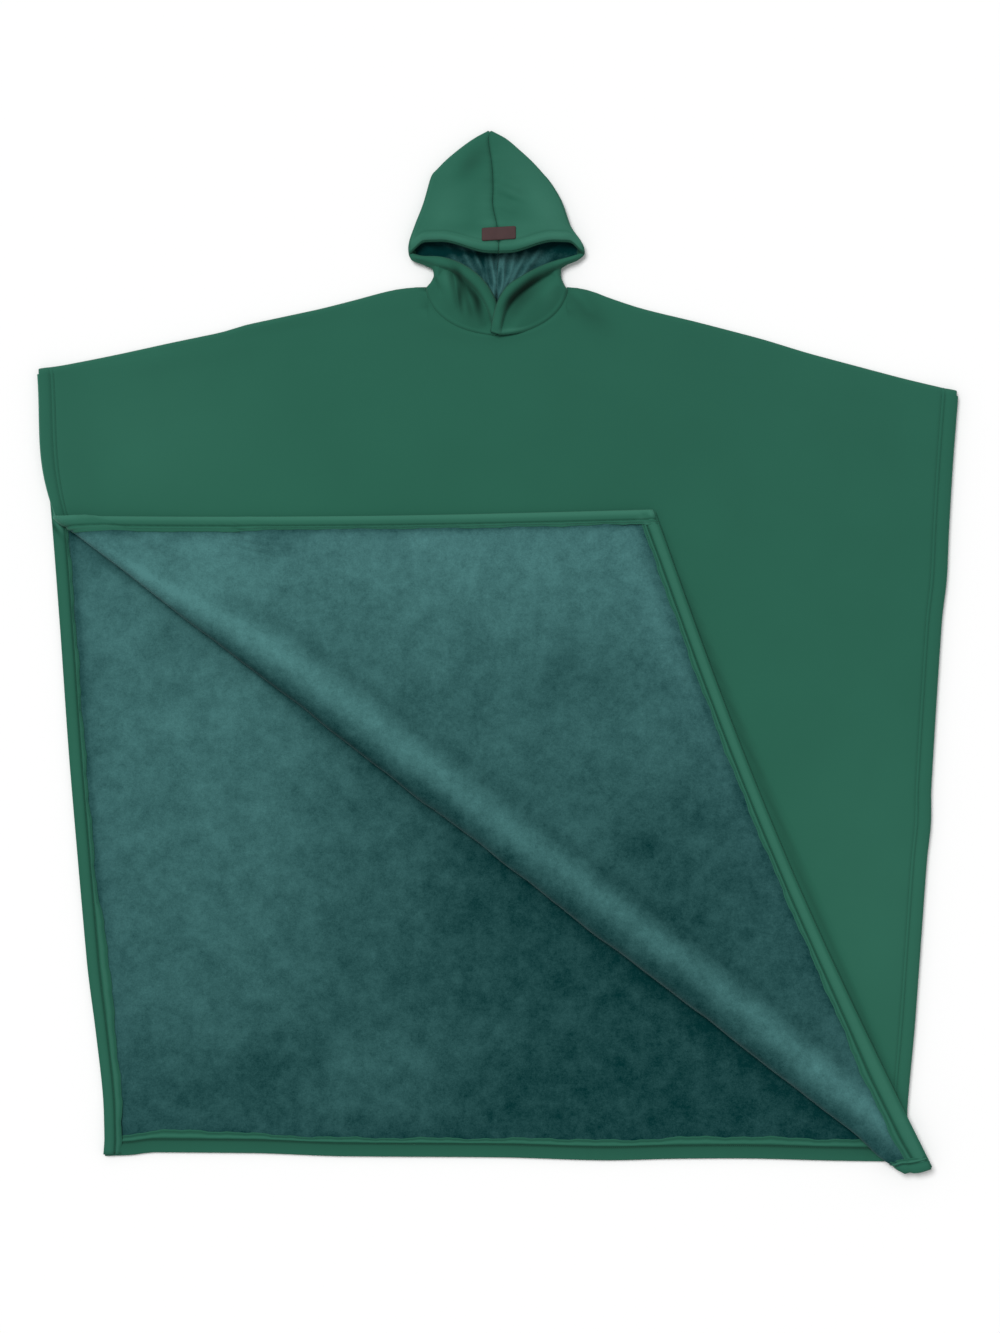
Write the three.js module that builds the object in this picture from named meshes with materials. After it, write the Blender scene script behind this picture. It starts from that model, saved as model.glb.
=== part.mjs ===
// A pull-over hooded cape of plush-lined fleece, laid out flat on its back.
// The front's lower left corner is turned up and over, so that its plush side shows.
// Frame: millimetres, +Z up, +Y towards the hood, +X to the viewer's right. The origin is on
// the surface that the cape lies on, below the middle of its footprint.
import * as THREE from "three";

const { clamp, degToRad, lerp, smoothstep } = THREE.MathUtils;

// --- Driving dimensions ---------------------------------------------------------------------

// Cloth: the fleece shell outside, the plush lining inside, and the air between two layers.
const SHELL = 1.6;
const PLUSH = 2.6;
const GAP = 0.3;

// Every panel has a reference surface midway between its two cloths. A layer is the span that
// it fills along the surface's normal, which points to the shell side.
const SHELL_SPAN = [GAP / 2, GAP / 2 + SHELL];
const LINING_SPAN = [-GAP / 2 - PLUSH, -GAP / 2];
const HEM_SPAN = [LINING_SPAN[0] - GAP - SHELL, LINING_SPAN[0] - GAP];

// Heights of the reference surfaces: the back, the front on it, and the flap on the front.
const BACK_Z = SHELL_SPAN[1];
const FRONT_Z = BACK_Z - LINING_SPAN[0] + GAP - LINING_SPAN[0];
const TWO_HEMS = 2 * (SHELL + GAP);
const FLAP_LIFT = 2 * SHELL_SPAN[1] + 2 * GAP;

// Corners of the panels, on their edges before the hem's own thickness is added.
const CORNER = {
  leftSleeve: [-746, 457],
  rightSleeve: [748, 423],
  backLeft: [-639, -814],
  backRight: [655, -828],
  foldStart: [-717, 219],
  foldEnd: [662, -842],
  flapTop: [254, 228],
  flapTail: [704, -838],
};

// The neck seam is half an ellipse in front and a shallower one behind.
const NECK = { halfWidth: 114, y: 592, frontDepth: 77, backDepth: 22 };
const NECK_ANGLES = [0, 22, 44, 62, 76, 88];
const NAPE_COLUMNS = [1, 0.65, 0.3, 0];

// Hems: a part of the panel's width at the sides, and a length at the bottom.
const SIDE_HEM = 0.021;
const SIDE_SLOPE = 0.054; // where the front has come down off the side hems
const BOTTOM_HEM = 28;

// The front lies level over the hems up to one distance from the edge, and has come down to
// the plush at the other. The flap, which bridges that slope, comes down further in.
const FRONT_SLOPE = [32, 80];
const FLAP_SLOPE = [130, 220];

const LAP_RAMP = 12; // length in which a side hem climbs onto the bottom hem
const TAIL_HEM = 0.85; // share of a short thread above the roll that its bottom hem may take

// The shoulder seam rolls down from the front to the back over this length.
const SHOULDER_ROLL = 8;
const ROLL_ANGLES = [0, 30, 60, 90];
const LINING_INSET = 14; // where the back's lining starts below the seam

// Rows of the front between the shoulder and the fold, as parts of that length.
const FRONT_ROWS = [0.1, 0.35, 0.65];

// The flap's edges bow a little: the side of the front, the flap's top and its right edge.
const SIDE_BOW = 7;
const TOP_SAG = 5;
const RIGHT_BOW = 22;

// Profile across the turned fold: how far each row lies from the fold's edge, on the lower
// or the upper side, how high the cloth stands there, and how much of the flap's lift it has.
const FOLD = [
  { side: "lower", reach: 40, rise: 0, lift: 0 },
  { side: "lower", reach: 16, rise: 0.8, lift: 0 },
  { side: "lower", reach: 4, rise: 4, lift: 0.1 },
  { side: "upper", reach: 0, rise: 9.5, lift: 0.4 },
  { side: "upper", reach: 4, rise: 15.5, lift: 0.8 },
  { side: "upper", reach: 18, rise: 22, lift: 1 },
  { side: "upper", reach: 42, rise: 24, lift: 1 },
  { side: "upper", reach: 70, rise: 18, lift: 1 },
  { side: "upper", reach: 100, rise: 6, lift: 1 },
  { side: "upper", reach: 130, rise: 0, lift: 1 },
];

// Size of that profile along the fold: tight at both ends, full between them.
const FOLD_SIZE = [
  { across: 0, size: 0.35 },
  { across: 0.12, size: 1 },
  { across: 0.76, size: 1 },
  { across: 0.9, size: 0.48 },
  { across: 1, size: 0.12 },
];

// Sections of the hood from its tip to the neck: the outline at the left and right, the centre
// seam, the radius of the side fold, and how far the crown rises above it.
const HOOD = [
  { y: 846, left: -16.5, right: -7, seam: -11.75, fold: 2.2, crown: 0 },
  { y: 834, left: -39, right: 16, seam: -14, fold: 3.5, crown: 1.5 },
  { y: 815, left: -65, right: 38, seam: -12, fold: 5, crown: 4 },
  { y: 795, left: -88, right: 59, seam: -9, fold: 6, crown: 7 },
  { y: 769, left: -106, right: 82, seam: -6.5, fold: 7, crown: 9 },
  { y: 729, left: -119, right: 106, seam: -7, fold: 8, crown: 11 },
  { y: 690, left: -135, right: 121, seam: 0, fold: 9, crown: 13 },
  { y: 664, left: -143, right: 139, seam: 3, fold: 9, crown: 14 },
  { y: 656, left: -144, right: 142, seam: 3, fold: 9, crown: 14 },
  { y: 648, left: -143, right: 143, seam: 3, fold: 9, crown: 14 },
  { y: 638, left: -132, right: 130, seam: 2, fold: 8.5, crown: 14 },
  { y: 628, left: -108, right: 108, seam: 1, fold: 8, crown: 14 },
  { y: 612, left: -102, right: 104, seam: 0, fold: 7, crown: 14 },
  { y: 592, left: -111, right: 111, seam: 0, fold: 5.8, crown: 14 },
];
const EAR_ROW = 9; // where the mouth's two lips meet at the side
const LIP_RISE = 18; // how far the upper lip arches towards the ears
const LIP_PULL = [0, 0, 0, 0, 0, 0.2, 0.5, 0.8, 0.92, 1]; // how far each row follows that arch

// Rims of the lower lips from the ear to the crossing, where the right lip lies on the left.
const LEFT_RIM = [
  { x: -118, y: 641, z: 16 },
  { x: -97, y: 639, z: 18 },
  { x: -75, y: 635, z: 19 },
  { x: -54, y: 626, z: 19.5 },
  { x: -36, y: 614, z: 18.5 },
  { x: -19, y: 597, z: 16 },
  { x: -6, y: 576, z: 13 },
  { x: 4, y: 552, z: 10.5 },
  { x: 12, y: 519, z: 9.6 },
];
const RIGHT_RIM = [
  { x: 118, y: 641, z: 16 },
  { x: 97, y: 634, z: 18 },
  { x: 76, y: 626, z: 19 },
  { x: 57, y: 617, z: 20 },
  { x: 38, y: 606, z: 20.5 },
  { x: 20, y: 594, z: 21 },
  { x: 7, y: 578, z: 20.5 },
  { x: -3, y: 555, z: 19 },
  { x: -9, y: 519, z: 17 },
];
// Heights of the neck seam at each of NECK_ANGLES after the first, on each side.
const NECK_SEAM_Z = {
  left: [FRONT_Z, FRONT_Z, FRONT_Z, FRONT_Z, 9.6],
  right: [FRONT_Z, FRONT_Z, FRONT_Z, 13.6, 16.6],
};

// The leather label, sewn over the centre seam above the upper lip.
const LABEL = { x: 3, y: 679, width: 55, height: 21, thickness: 1.2 };

const COLOUR = { fleece: 0x2d624f, plush: 0x386462, leather: 0x573c3e };

// --- Small helpers --------------------------------------------------------------------------

const flat = ([x, y]) => new THREE.Vector3(x, y, 0);

// Reads a column of a table at a place along another column, in straight lines between rows.
function read(table, key, at, column) {
  const up = table.at(-1)[key] > table[0][key];
  const rows = up ? table : table.toReversed();
  const place = clamp(at, rows[0][key], rows.at(-1)[key]);
  const next = Math.max(1, rows.findIndex((row) => row[key] >= place));
  const [a, b] = [rows[next - 1], rows[next]];
  return lerp(a[column], b[column], (place - a[key]) / (b[key] - a[key]));
}

// How far a point in plan lies to the left of the line from one corner to another.
function leftOf([ax, ay], [bx, by], p) {
  return ((bx - ax) * (p.y - ay) - (by - ay) * (p.x - ax)) / Math.hypot(bx - ax, by - ay);
}

// --- Cloth as surfaces and layers -----------------------------------------------------------

// A reference surface: patches are grids of points, rows by columns, sewn where they share
// points. `straighten` may turn the normal at a seam, so that neighbours meet cleanly.
class Surface {
  constructor(patches, { flip = false, straighten = () => {} } = {}) {
    this.points = [];
    this.faces = [];
    const known = new Map();
    const add = (p) => {
      const key = p.toArray().map((c) => Math.round(c * 1000)).join();
      if (!known.has(key)) known.set(key, this.points.push(p.clone()) - 1);
      return known.get(key);
    };
    this.grids = patches.map((rows) => rows.map((row) => row.map(add)));
    for (const grid of this.grids) this.addFaces(grid, flip);
    this.normals = this.points.map(() => new THREE.Vector3());
    for (const face of this.faces) {
      const [a, b, c] = face.map((v) => this.points[v]);
      const normal = b.clone().sub(a).cross(c.clone().sub(a));
      for (const v of face) this.normals[v].add(normal);
    }
    this.normals.forEach((normal, v) => {
      normal.normalize();
      straighten(normal, this.points[v]);
      normal.normalize();
    });
  }

  addFaces(grid, flip) {
    for (let i = 0; i + 1 < grid.length; i++)
      for (let j = 0; j + 1 < grid[i].length; j++) {
        const [a, b] = [grid[i][j], grid[i][j + 1]];
        const [d, c] = [grid[i + 1][j], grid[i + 1][j + 1]];
        for (const face of [[a, b, c], [a, c, d]]) {
          if (new Set(face).size < 3) continue;
          this.faces.push(flip ? face.toReversed() : face);
        }
      }
  }

  // A vertex moved out along its normal.
  moved(vertex, distance) {
    return this.points[vertex].clone().addScaledVector(this.normals[vertex], distance);
  }
}

// A closed body from its points and faces, turned so that its faces point out.
function body(points, faces) {
  const volume = faces.reduce((sum, [a, b, c]) => {
    return sum + points[a].dot(points[b].clone().cross(points[c]));
  }, 0);
  const turned = volume < 0 ? faces.map((face) => face.toReversed()) : faces;
  const geometry = new THREE.BufferGeometry().setFromPoints(points);
  geometry.setIndex(turned.flat());
  return geometry;
}

// One cloth over a surface: an outer and an inner copy, walled along every open edge.
function layer(surface, [low, high]) {
  const count = surface.points.length;
  const points = [high, low].flatMap((d) => surface.points.map((_, v) => surface.moved(v, d)));
  const faces = surface.faces.flatMap(([a, b, c]) => [
    [a, b, c],
    [c + count, b + count, a + count],
  ]);
  const edges = surface.faces.flatMap(([a, b, c]) => [[a, b], [b, c], [c, a]]);
  const directed = new Set(edges.map((edge) => edge.join()));
  for (const [a, b] of edges) {
    if (directed.has(b + "," + a)) continue;
    if (a < b) faces.push([b, a, b + count], [a, a + count, b + count]);
    else faces.push([b, a, a + count], [b, a + count, b + count]);
  }
  return body(points, faces);
}

// A strip swept through rings of equal length. A ring runs out along one face of the strip
// and back along the other, so that its first point lies across from its last. `leans` says
// for each ring and side which diagonal its cells are cut on, to match what they lie beside.
function strip(rings, leans) {
  const n = rings[0].length;
  const faces = [];
  const quad = (a, b, c, d) => faces.push([a, b, c], [a, c, d]);
  for (let i = 0; i + 1 < rings.length; i++)
    for (let j = 0; j < n; j++) {
      const next = (j + 1) % n;
      const cell = [i * n + j, i * n + next, (i + 1) * n + next, (i + 1) * n + j];
      if (leans(i, j)) quad(...cell);
      else quad(...cell.slice(1), cell[0]);
    }
  const last = (rings.length - 1) * n;
  for (let j = 0; j + 1 < n / 2; j++) {
    quad(n - 1 - j, n - 2 - j, j + 1, j);
    quad(last + j, last + j + 1, last + n - 2 - j, last + n - 1 - j);
  }
  return body(rings.flat(), faces);
}

// The direction from one point to another, seen along a normal.
function heading(from, to, normal) {
  const way = to.clone().sub(from);
  return way.addScaledVector(normal, -way.dot(normal)).normalize();
}

const WALL = 4; // points of a hem's ring that go down beside the raw edges

// A turned hem: the shell's own edge carried round the raw edges and back over the plush.
// Each station names the vertex on the panel's edge, the vertices across the hem from there
// inwards, how far the hem is raised to lap over another one, and whether the panel's cells
// there are cut from the edge inwards.
function hem(surface, stations) {
  const point = (vertex) => surface.points[vertex].clone();
  const half = WALL + 1 + stations[0].across.length;
  return strip(
    stations.map(({ edge, across, raise = 0 }, k) => {
      const normal = surface.normals[edge];
      const before = stations[Math.max(k - 1, 0)].edge;
      const after = stations[Math.min(k + 1, stations.length - 1)].edge;
      const along = heading(point(before), point(edge), normal);
      along.add(heading(point(edge), point(after), normal));
      const ways = before === edge || after === edge ? 1 : 2;
      const mitre = clamp(along.length() / ways, 0.4, 1);
      const inward = along.cross(normal).normalize();
      if (inward.dot(point(across.at(-1)).sub(point(edge))) < 0) inward.negate();
      const at = (a, b) => surface.moved(edge, b).addScaledVector(inward, a / mitre);
      const [outer, inner] = HEM_SPAN.map((b) => b - raise);
      const gap = GAP + raise / 4;
      const wrap = gap + SHELL;
      const outside = [
        at(-0.8 * wrap, SHELL_SPAN[1]),
        at(-wrap, SHELL_SPAN[0]),
        at(-wrap, inner),
        at(-0.65 * wrap, outer + 0.35),
        at(0, outer),
        ...across.map((v) => surface.moved(v, outer)),
      ];
      const inside = [
        at(-gap, SHELL_SPAN[1]),
        at(-gap, SHELL_SPAN[0]),
        at(-gap, lerp(inner, 0, 0.3)),
        at(-gap, inner),
        at(0, inner),
        ...across.map((v) => surface.moved(v, inner)),
      ];
      return [...outside, ...inside.reverse()];
    }),
    (i, j) => (j < half ? stations[i].leans : j < 2 * half - WALL && !stations[i].leans),
  );
}

// --- The body panels ------------------------------------------------------------------------

const widthAt = (u) => lerp(CORNER.leftSleeve[0], CORNER.rightSleeve[0], u);
const placeOf = (x) => (x - widthAt(0)) / (widthAt(1) - widthAt(0));

// The shoulder seam at a place across the cape, and the neck's ellipse between the shoulders.
function topEdge(u, neckDepth) {
  const x = widthAt(u);
  if (Math.abs(x) < NECK.halfWidth - 1e-6) {
    const drop = Math.sqrt(1 - (x / NECK.halfWidth) ** 2);
    return new THREE.Vector3(x, NECK.y - neckDepth * drop, 0);
  }
  const sleeve = x < 0 ? CORNER.leftSleeve : CORNER.rightSleeve;
  const t = (Math.abs(x) - NECK.halfWidth) / (Math.abs(sleeve[0]) - NECK.halfWidth);
  return new THREE.Vector3(x, lerp(NECK.y, sleeve[1], t), 0);
}

const inNeck = (u) => Math.abs(widthAt(u)) < NECK.halfWidth - 1e-6;

// The front lies in the back's plush, and rises over the hems at the sides and the bottom.
// `start` and `end` are the distances from the edge between which it comes down.
function heightAt(p, [start, end]) {
  const inside = Math.min(
    leftOf(CORNER.leftSleeve, CORNER.backLeft, p),
    leftOf(CORNER.backLeft, CORNER.backRight, p),
    leftOf(CORNER.backRight, CORNER.rightSleeve, p),
  );
  return FRONT_Z + TWO_HEMS * (1 - clamp((inside - start) / (end - start), 0, 1));
}

const frontHeight = (p) => heightAt(p, FRONT_SLOPE);
const flapHeight = (p) => heightAt(p, FLAP_SLOPE) + FLAP_LIFT;

// The line that the front is turned over on, at a place across the cape.
function foldLine(u) {
  const along = u * (1 + 0.1 * (1 - u));
  return flat(CORNER.foldStart).lerp(flat(CORNER.foldEnd), along);
}

// The bottom hem's edge after the corner is turned over: the flap's right edge.
function flapEdge(u) {
  const edge = flat(CORNER.flapTail).sub(flat(CORNER.flapTop));
  const side = new THREE.Vector3(edge.y, -edge.x, 0).normalize();
  return flat(CORNER.flapTop)
    .addScaledVector(edge, u)
    .addScaledVector(side, RIGHT_BOW * Math.sin(Math.PI * u));
}

// One thread of the front panel, from the shoulder down, round the fold and up to the hem.
function frontThread(u) {
  const size = read(FOLD_SIZE, "across", u, "size");
  const across = flat(CORNER.foldEnd).sub(flat(CORNER.foldStart)).normalize();
  const normal = new THREE.Vector3(-across.y, across.x, 0);
  const [top, turn, end] = [topEdge(u, NECK.frontDepth), foldLine(u), flapEdge(u)];
  const down = turn.clone().sub(top);
  const up = end.clone().sub(turn);
  const lower = (s) => {
    const p = top.clone().addScaledVector(down, s / down.length());
    p.x -= SIDE_BOW * Math.sin((Math.PI * s) / down.length()) * (1 - u) ** 8;
    return p;
  };
  const upper = (s) => {
    const p = turn.clone().addScaledVector(up, s / up.length());
    p.y -= TOP_SAG * Math.sin((Math.PI * s) / up.length()) * (1 - u) ** 4;
    return p;
  };
  const reach = (row, run) => (row.reach * size * run.length()) / Math.abs(run.dot(normal));
  const rows = [];
  const place = (p, z) => rows.push(p.setZ(z));

  for (const angle of ROLL_ANGLES.map(degToRad)) {
    const p = lower(SHOULDER_ROLL * (1 - Math.cos(angle)));
    const foot = SHELL + GAP;
    place(p, inNeck(u) ? FRONT_Z : lerp(foot, frontHeight(p), Math.sin(angle)));
  }
  const bottom = down.length() - reach(FOLD[0], down);
  for (const t of FRONT_ROWS) {
    const p = lower(lerp(SHOULDER_ROLL, bottom, t));
    place(p, frontHeight(p));
  }
  for (const row of FOLD) {
    const onLower = row.side === "lower";
    const p = onLower ? lower(down.length() - reach(row, down)) : upper(reach(row, up));
    place(p, lerp(frontHeight(p), flapHeight(p), row.lift) + size * row.rise);
  }
  const start = reach(FOLD.at(-1), up);
  const hemLine = up.length() - Math.min(BOTTOM_HEM, (up.length() - start) * TAIL_HEM);
  const lapLine = Math.max(lerp(start, hemLine, 0.7), hemLine - LAP_RAMP);
  for (const s of [lerp(start, hemLine, 0.35), lapLine, hemLine, up.length()]) {
    const p = upper(s);
    place(p, flapHeight(p));
  }
  return rows;
}

// One thread of the back panel, from the shoulder or the nape down to the hem.
function backThread(u) {
  const top = topEdge(u, NECK.backDepth);
  if (!inNeck(u)) top.y += BACK_Z;
  const bottom = flat(CORNER.backLeft).lerp(flat(CORNER.backRight), u);
  const length = top.distanceTo(bottom);
  const hemLine = length - BOTTOM_HEM;
  const stops = [0, LINING_INSET, length * 0.4, hemLine - LAP_RAMP, hemLine, length];
  return stops.map((s) => top.clone().lerp(bottom, s / length).setZ(BACK_Z));
}

// Threads side by side make a grid of rows by columns.
const rowsOf = (threads) => threads[0].map((_, i) => threads.map((thread) => thread[i]));

const frontNeck = NECK_ANGLES.map((a) => NECK.halfWidth * Math.cos(degToRad(a)));
const backNeck = NAPE_COLUMNS.map((t) => t * napeHalfWidth());

function bodyColumns(outer, neck) {
  const left = [0, SIDE_HEM, ...outer];
  const middle = [...neck, ...neck.map((x) => -x)].map(placeOf);
  const all = [...left, ...middle, ...left.map((u) => 1 - u)].sort((a, b) => a - b);
  return all.filter((u, i) => i === 0 || u - all[i - 1] > 1e-6);
}

// At the neck the cloth's edge stands square to the seam.
function straightenNeck(up) {
  return (normal, p) => {
    const depth = up > 0 ? NECK.frontDepth : NECK.backDepth;
    const onSeam = Math.hypot(p.x / NECK.halfWidth, (p.y - NECK.y) / depth);
    if (Math.abs(onSeam - 1) < 0.006 && p.y < NECK.y - 1) normal.set(0, 0, up);
  };
}

// A body panel and its hems. Each side hem laps over the bottom hem in its last rows. With no
// rows to lap at the right, the bottom hem stops beside the side hem there.
function bodyPanel(name, threads, { up, rolled, lap }) {
  const rows = rowsOf(threads);
  const options = { flip: up > 0, straighten: straightenNeck(up) };
  const outside = new Surface([rows], options);
  const inside = new Surface([rows.slice(rolled)], options);
  const grid = inside.grids[0];
  const last = grid[0].length - 1;
  const raise = (i, rowsLapped) => (i >= grid.length - rowsLapped ? SHELL + 2 * GAP : 0);
  const left = grid.map((row, i) => {
    return { edge: row[0], across: [row[1]], raise: raise(i, lap.left), leans: true };
  });
  const right = grid.map((row, i) => {
    return { edge: row[last], across: [row[last - 1]], raise: raise(i, lap.right) };
  });
  const bottom = grid.at(-1).map((edge, j) => ({ edge, across: [grid.at(-2)[j]] }));
  if (!lap.right) bottom.pop();
  return [
    [name + "_shell", layer(outside, SHELL_SPAN), "fleece"],
    [name + "_lining", layer(inside, LINING_SPAN), "plush"],
    [name + "_hem_left", hem(inside, left), "fleece"],
    [name + "_hem_right", hem(inside, right), "fleece"],
    [name + "_hem_bottom", hem(inside, bottom), "fleece"],
  ];
}

// --- The hood -------------------------------------------------------------------------------

function napeHalfWidth() {
  const row = HOOD.at(-1);
  return row.right - SHELL_SPAN[1] - row.fold;
}

// The crown's reference surface between the centre seam (t = 0) and the side fold (t = 1).
const crownHeight = (row, t) => BACK_Z + 2 * row.fold + row.crown * (1 - t * t);

// How far the mouth's upper lip lies beyond the ears, from the seam to the side fold.
const lipArch = (t) => LIP_RISE * smoothstep(t, 0.1, 0.7) * (1 - smoothstep(t, 0.86, 1));

// One half of the hood: crown over the side fold, the layer below it, and the throat.
function hoodHalf(side) {
  const right = side === "right";
  const sign = right ? 1 : -1;
  const sections = HOOD.map((row, i) => {
    const seam = row.seam + (sign * GAP) / 2;
    const edge = row[side] - sign * SHELL_SPAN[1];
    const centre = edge - sign * row.fold;
    const arc = (angle, y = row.y) => {
      const a = degToRad(angle);
      const z = BACK_Z + row.fold * (1 + Math.sin(a));
      return new THREE.Vector3(centre + sign * row.fold * Math.cos(a), y, z);
    };
    const pull = LIP_PULL[i] ?? 0;
    const crown = [1, 0.86, 0.7, 0.35, 0].map((t) => {
      const y = row.y + pull * lipArch(t);
      return new THREE.Vector3(lerp(seam, centre, t), y, crownHeight(row, t));
    });
    const nape = NAPE_COLUMNS.map((t) => new THREE.Vector3(lerp(seam, centre, t), row.y, BACK_Z));
    return { crown: [arc(0), arc(45), ...crown], nape: [arc(0), arc(-45), ...nape] };
  });

  // The nape ends along the back's neck seam.
  const nape = sections.map((section) => section.nape);
  nape.at(-1).forEach((p, j) => {
    if (j > 1) p.y -= NECK.backDepth * Math.sqrt(1 - (p.x / NECK.halfWidth) ** 2) - GAP;
  });

  // The throat is ruled from the lower lip's rim to the side fold, and then to the neck seam.
  const sideLine = nape.slice(EAR_ROW).map((row) => row[0]);
  const neckLine = NECK_ANGLES.slice(1).map((angle, k) => {
    const a = degToRad(angle);
    const x = sign * (NECK.halfWidth - GAP) * Math.cos(a);
    const y = NECK.y - (NECK.frontDepth - GAP) * Math.sin(a);
    return new THREE.Vector3(x, y, NECK_SEAM_Z[side][k]);
  });
  const rim = (right ? RIGHT_RIM : LEFT_RIM).map(({ x, y, z }) => new THREE.Vector3(x, y, z));
  const outer = [...sideLine, ...neckLine];
  const throat = [sideLine[0], ...rim].map((from, i) => {
    const length = from.distanceTo(outer[i]);
    const stops = [0, 8, 16].map((s) => Math.min(s / Math.max(length, 1), 0.25 * (s / 8)));
    return [...stops, 0.75, 1].map((t) => {
      const p = from.clone().lerp(outer[i], t);
      p.z += 0.04 * length * Math.sin(Math.PI * t);
      return p;
    });
  });
  const crown = sections.slice(0, EAR_ROW + 1).map((section) => section.crown);
  return { crown, nape, throat };
}

// Seams of the hood lie in upright planes, and its neck edges stand square to the neck seam.
function straightenHood(halfPatches) {
  const seam = new Set();
  const up = new Set();
  const down = new Set();
  const key = (p) => p.toArray().map((c) => Math.round(c * 1000)).join();
  for (const row of [...halfPatches.crown, ...halfPatches.nape]) seam.add(key(row.at(-1)));
  halfPatches.throat.slice(-NECK_ANGLES.length + 1).forEach((row) => up.add(key(row.at(-1))));
  halfPatches.nape.at(-1).slice(2).forEach((p) => down.add(key(p)));
  return (normal, p) => {
    if (seam.has(key(p))) normal.x = 0;
    if (up.has(key(p))) normal.set(0, 0, 1);
    if (down.has(key(p))) normal.set(0, 0, -1);
  };
}

function hoodPanel(side) {
  const half = hoodHalf(side);
  const options = { flip: side === "right", straighten: straightenHood(half) };
  const make = (skip) => {
    const patches = [half.crown.slice(skip), half.nape.slice(skip), half.throat];
    // All three run on round the section: from the seam over the side fold to the nape.
    patches[0] = patches[0].map((row) => row.toReversed());
    return new Surface(patches, options);
  };
  const outside = make(0);
  const skipped = 3; // the plush stops short of the pointed tip
  const inside = make(skipped);
  const [crown, nape, throat] = inside.grids;
  const columns = crown[0].map((_, j) => j).slice(0, -1);
  const upper = columns.map((j) => {
    return { edge: crown.at(-1)[j], across: [crown.at(-2)[j], crown.at(-3)[j]] };
  });
  const ear = nape[EAR_ROW - skipped];
  const lower = throat.slice(1).map((row) => {
    return { edge: row[0], across: [row[1], row[2]], leans: true };
  });
  // Round the ear the hem is bulkier, where it turns from the upper lip to the lower one.
  const turn = { edge: ear[0], across: [ear[1], ear[2]], leans: true, raise: 4 * GAP };
  upper.at(-1).raise = 2 * GAP;
  lower[0].raise = 2 * GAP;
  const stations = [...upper, turn, ...lower];
  return [
    [`hood_${side}_shell`, layer(outside, SHELL_SPAN), "fleece"],
    [`hood_${side}_lining`, layer(inside, LINING_SPAN), "plush"],
    [`hood_hem_${side}`, hem(inside, stations), "fleece"],
  ];
}

// The label follows the crown, just clear of the fleece.
function label() {
  const [low, high] = [SHELL_SPAN[1] + GAP, SHELL_SPAN[1] + GAP + LABEL.thickness];
  const seam = read(HOOD, "y", LABEL.y, "seam");
  const columns = [-1, -0.5, 0, 0.5, 1].map((t) => LABEL.x + (t * LABEL.width) / 2);
  const rows = [1, -1].map((s) => {
    const y = LABEL.y + (s * LABEL.height) / 2;
    const row = { fold: read(HOOD, "y", y, "fold"), crown: read(HOOD, "y", y, "crown") };
    return columns.map((x) => {
      const t = (x - seam) / (read(HOOD, "y", y, "right") - seam);
      return new THREE.Vector3(x, y, crownHeight(row, t));
    });
  });
  return ["hood_label", layer(new Surface([rows], { flip: true }), [low, high]), "leather"];
}

// --- The whole cape -------------------------------------------------------------------------

const MATERIALS = {
  fleece: new THREE.MeshStandardMaterial({ color: COLOUR.fleece, roughness: 0.95, metalness: 0 }),
  plush: new THREE.MeshStandardMaterial({ color: COLOUR.plush, roughness: 1, metalness: 0 }),
  leather: new THREE.MeshStandardMaterial({ color: COLOUR.leather, roughness: 0.6, metalness: 0 }),
};

const frontColumns = bodyColumns([SIDE_SLOPE, 0.12, 0.27], frontNeck);
const backColumns = bodyColumns([0.2, 0.33], [NECK.halfWidth, ...backNeck]);

const cape = new THREE.Group();
const pieces = [
  ...bodyPanel("back", backColumns.map(backThread), {
    up: -1,
    rolled: 1,
    lap: { left: 2, right: 0 },
  }),
  ...bodyPanel("front", frontColumns.map(frontThread), {
    up: 1,
    rolled: 3,
    lap: { left: 2, right: 6 },
  }),
  ...hoodPanel("left"),
  ...hoodPanel("right"),
  label(),
];
for (const [name, geometry, material] of pieces) {
  const mesh = new THREE.Mesh(geometry, MATERIALS[material]);
  mesh.name = name;
  cape.add(mesh);
}

export default cape;
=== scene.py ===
# %% [markdown]
# # A hooded fleece cape, laid out flat
# The cape is two body panels, front and back, and a hood of two halves. Each is green fleece
# lined with teal plush, and its raw edges are hidden in hems turned to the inside. It lies on its
# back, and the front's lower corner is turned up and over, so that the plush side shows.
#
# A cloth could be simulated, but a garment that somebody has smoothed out by hand has few folds,
# and each lies where it was put. So every panel here is a function: it takes a place on the
# flat cut and gives the place in space. The cloths, hems and stitches are all carried on it.

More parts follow.
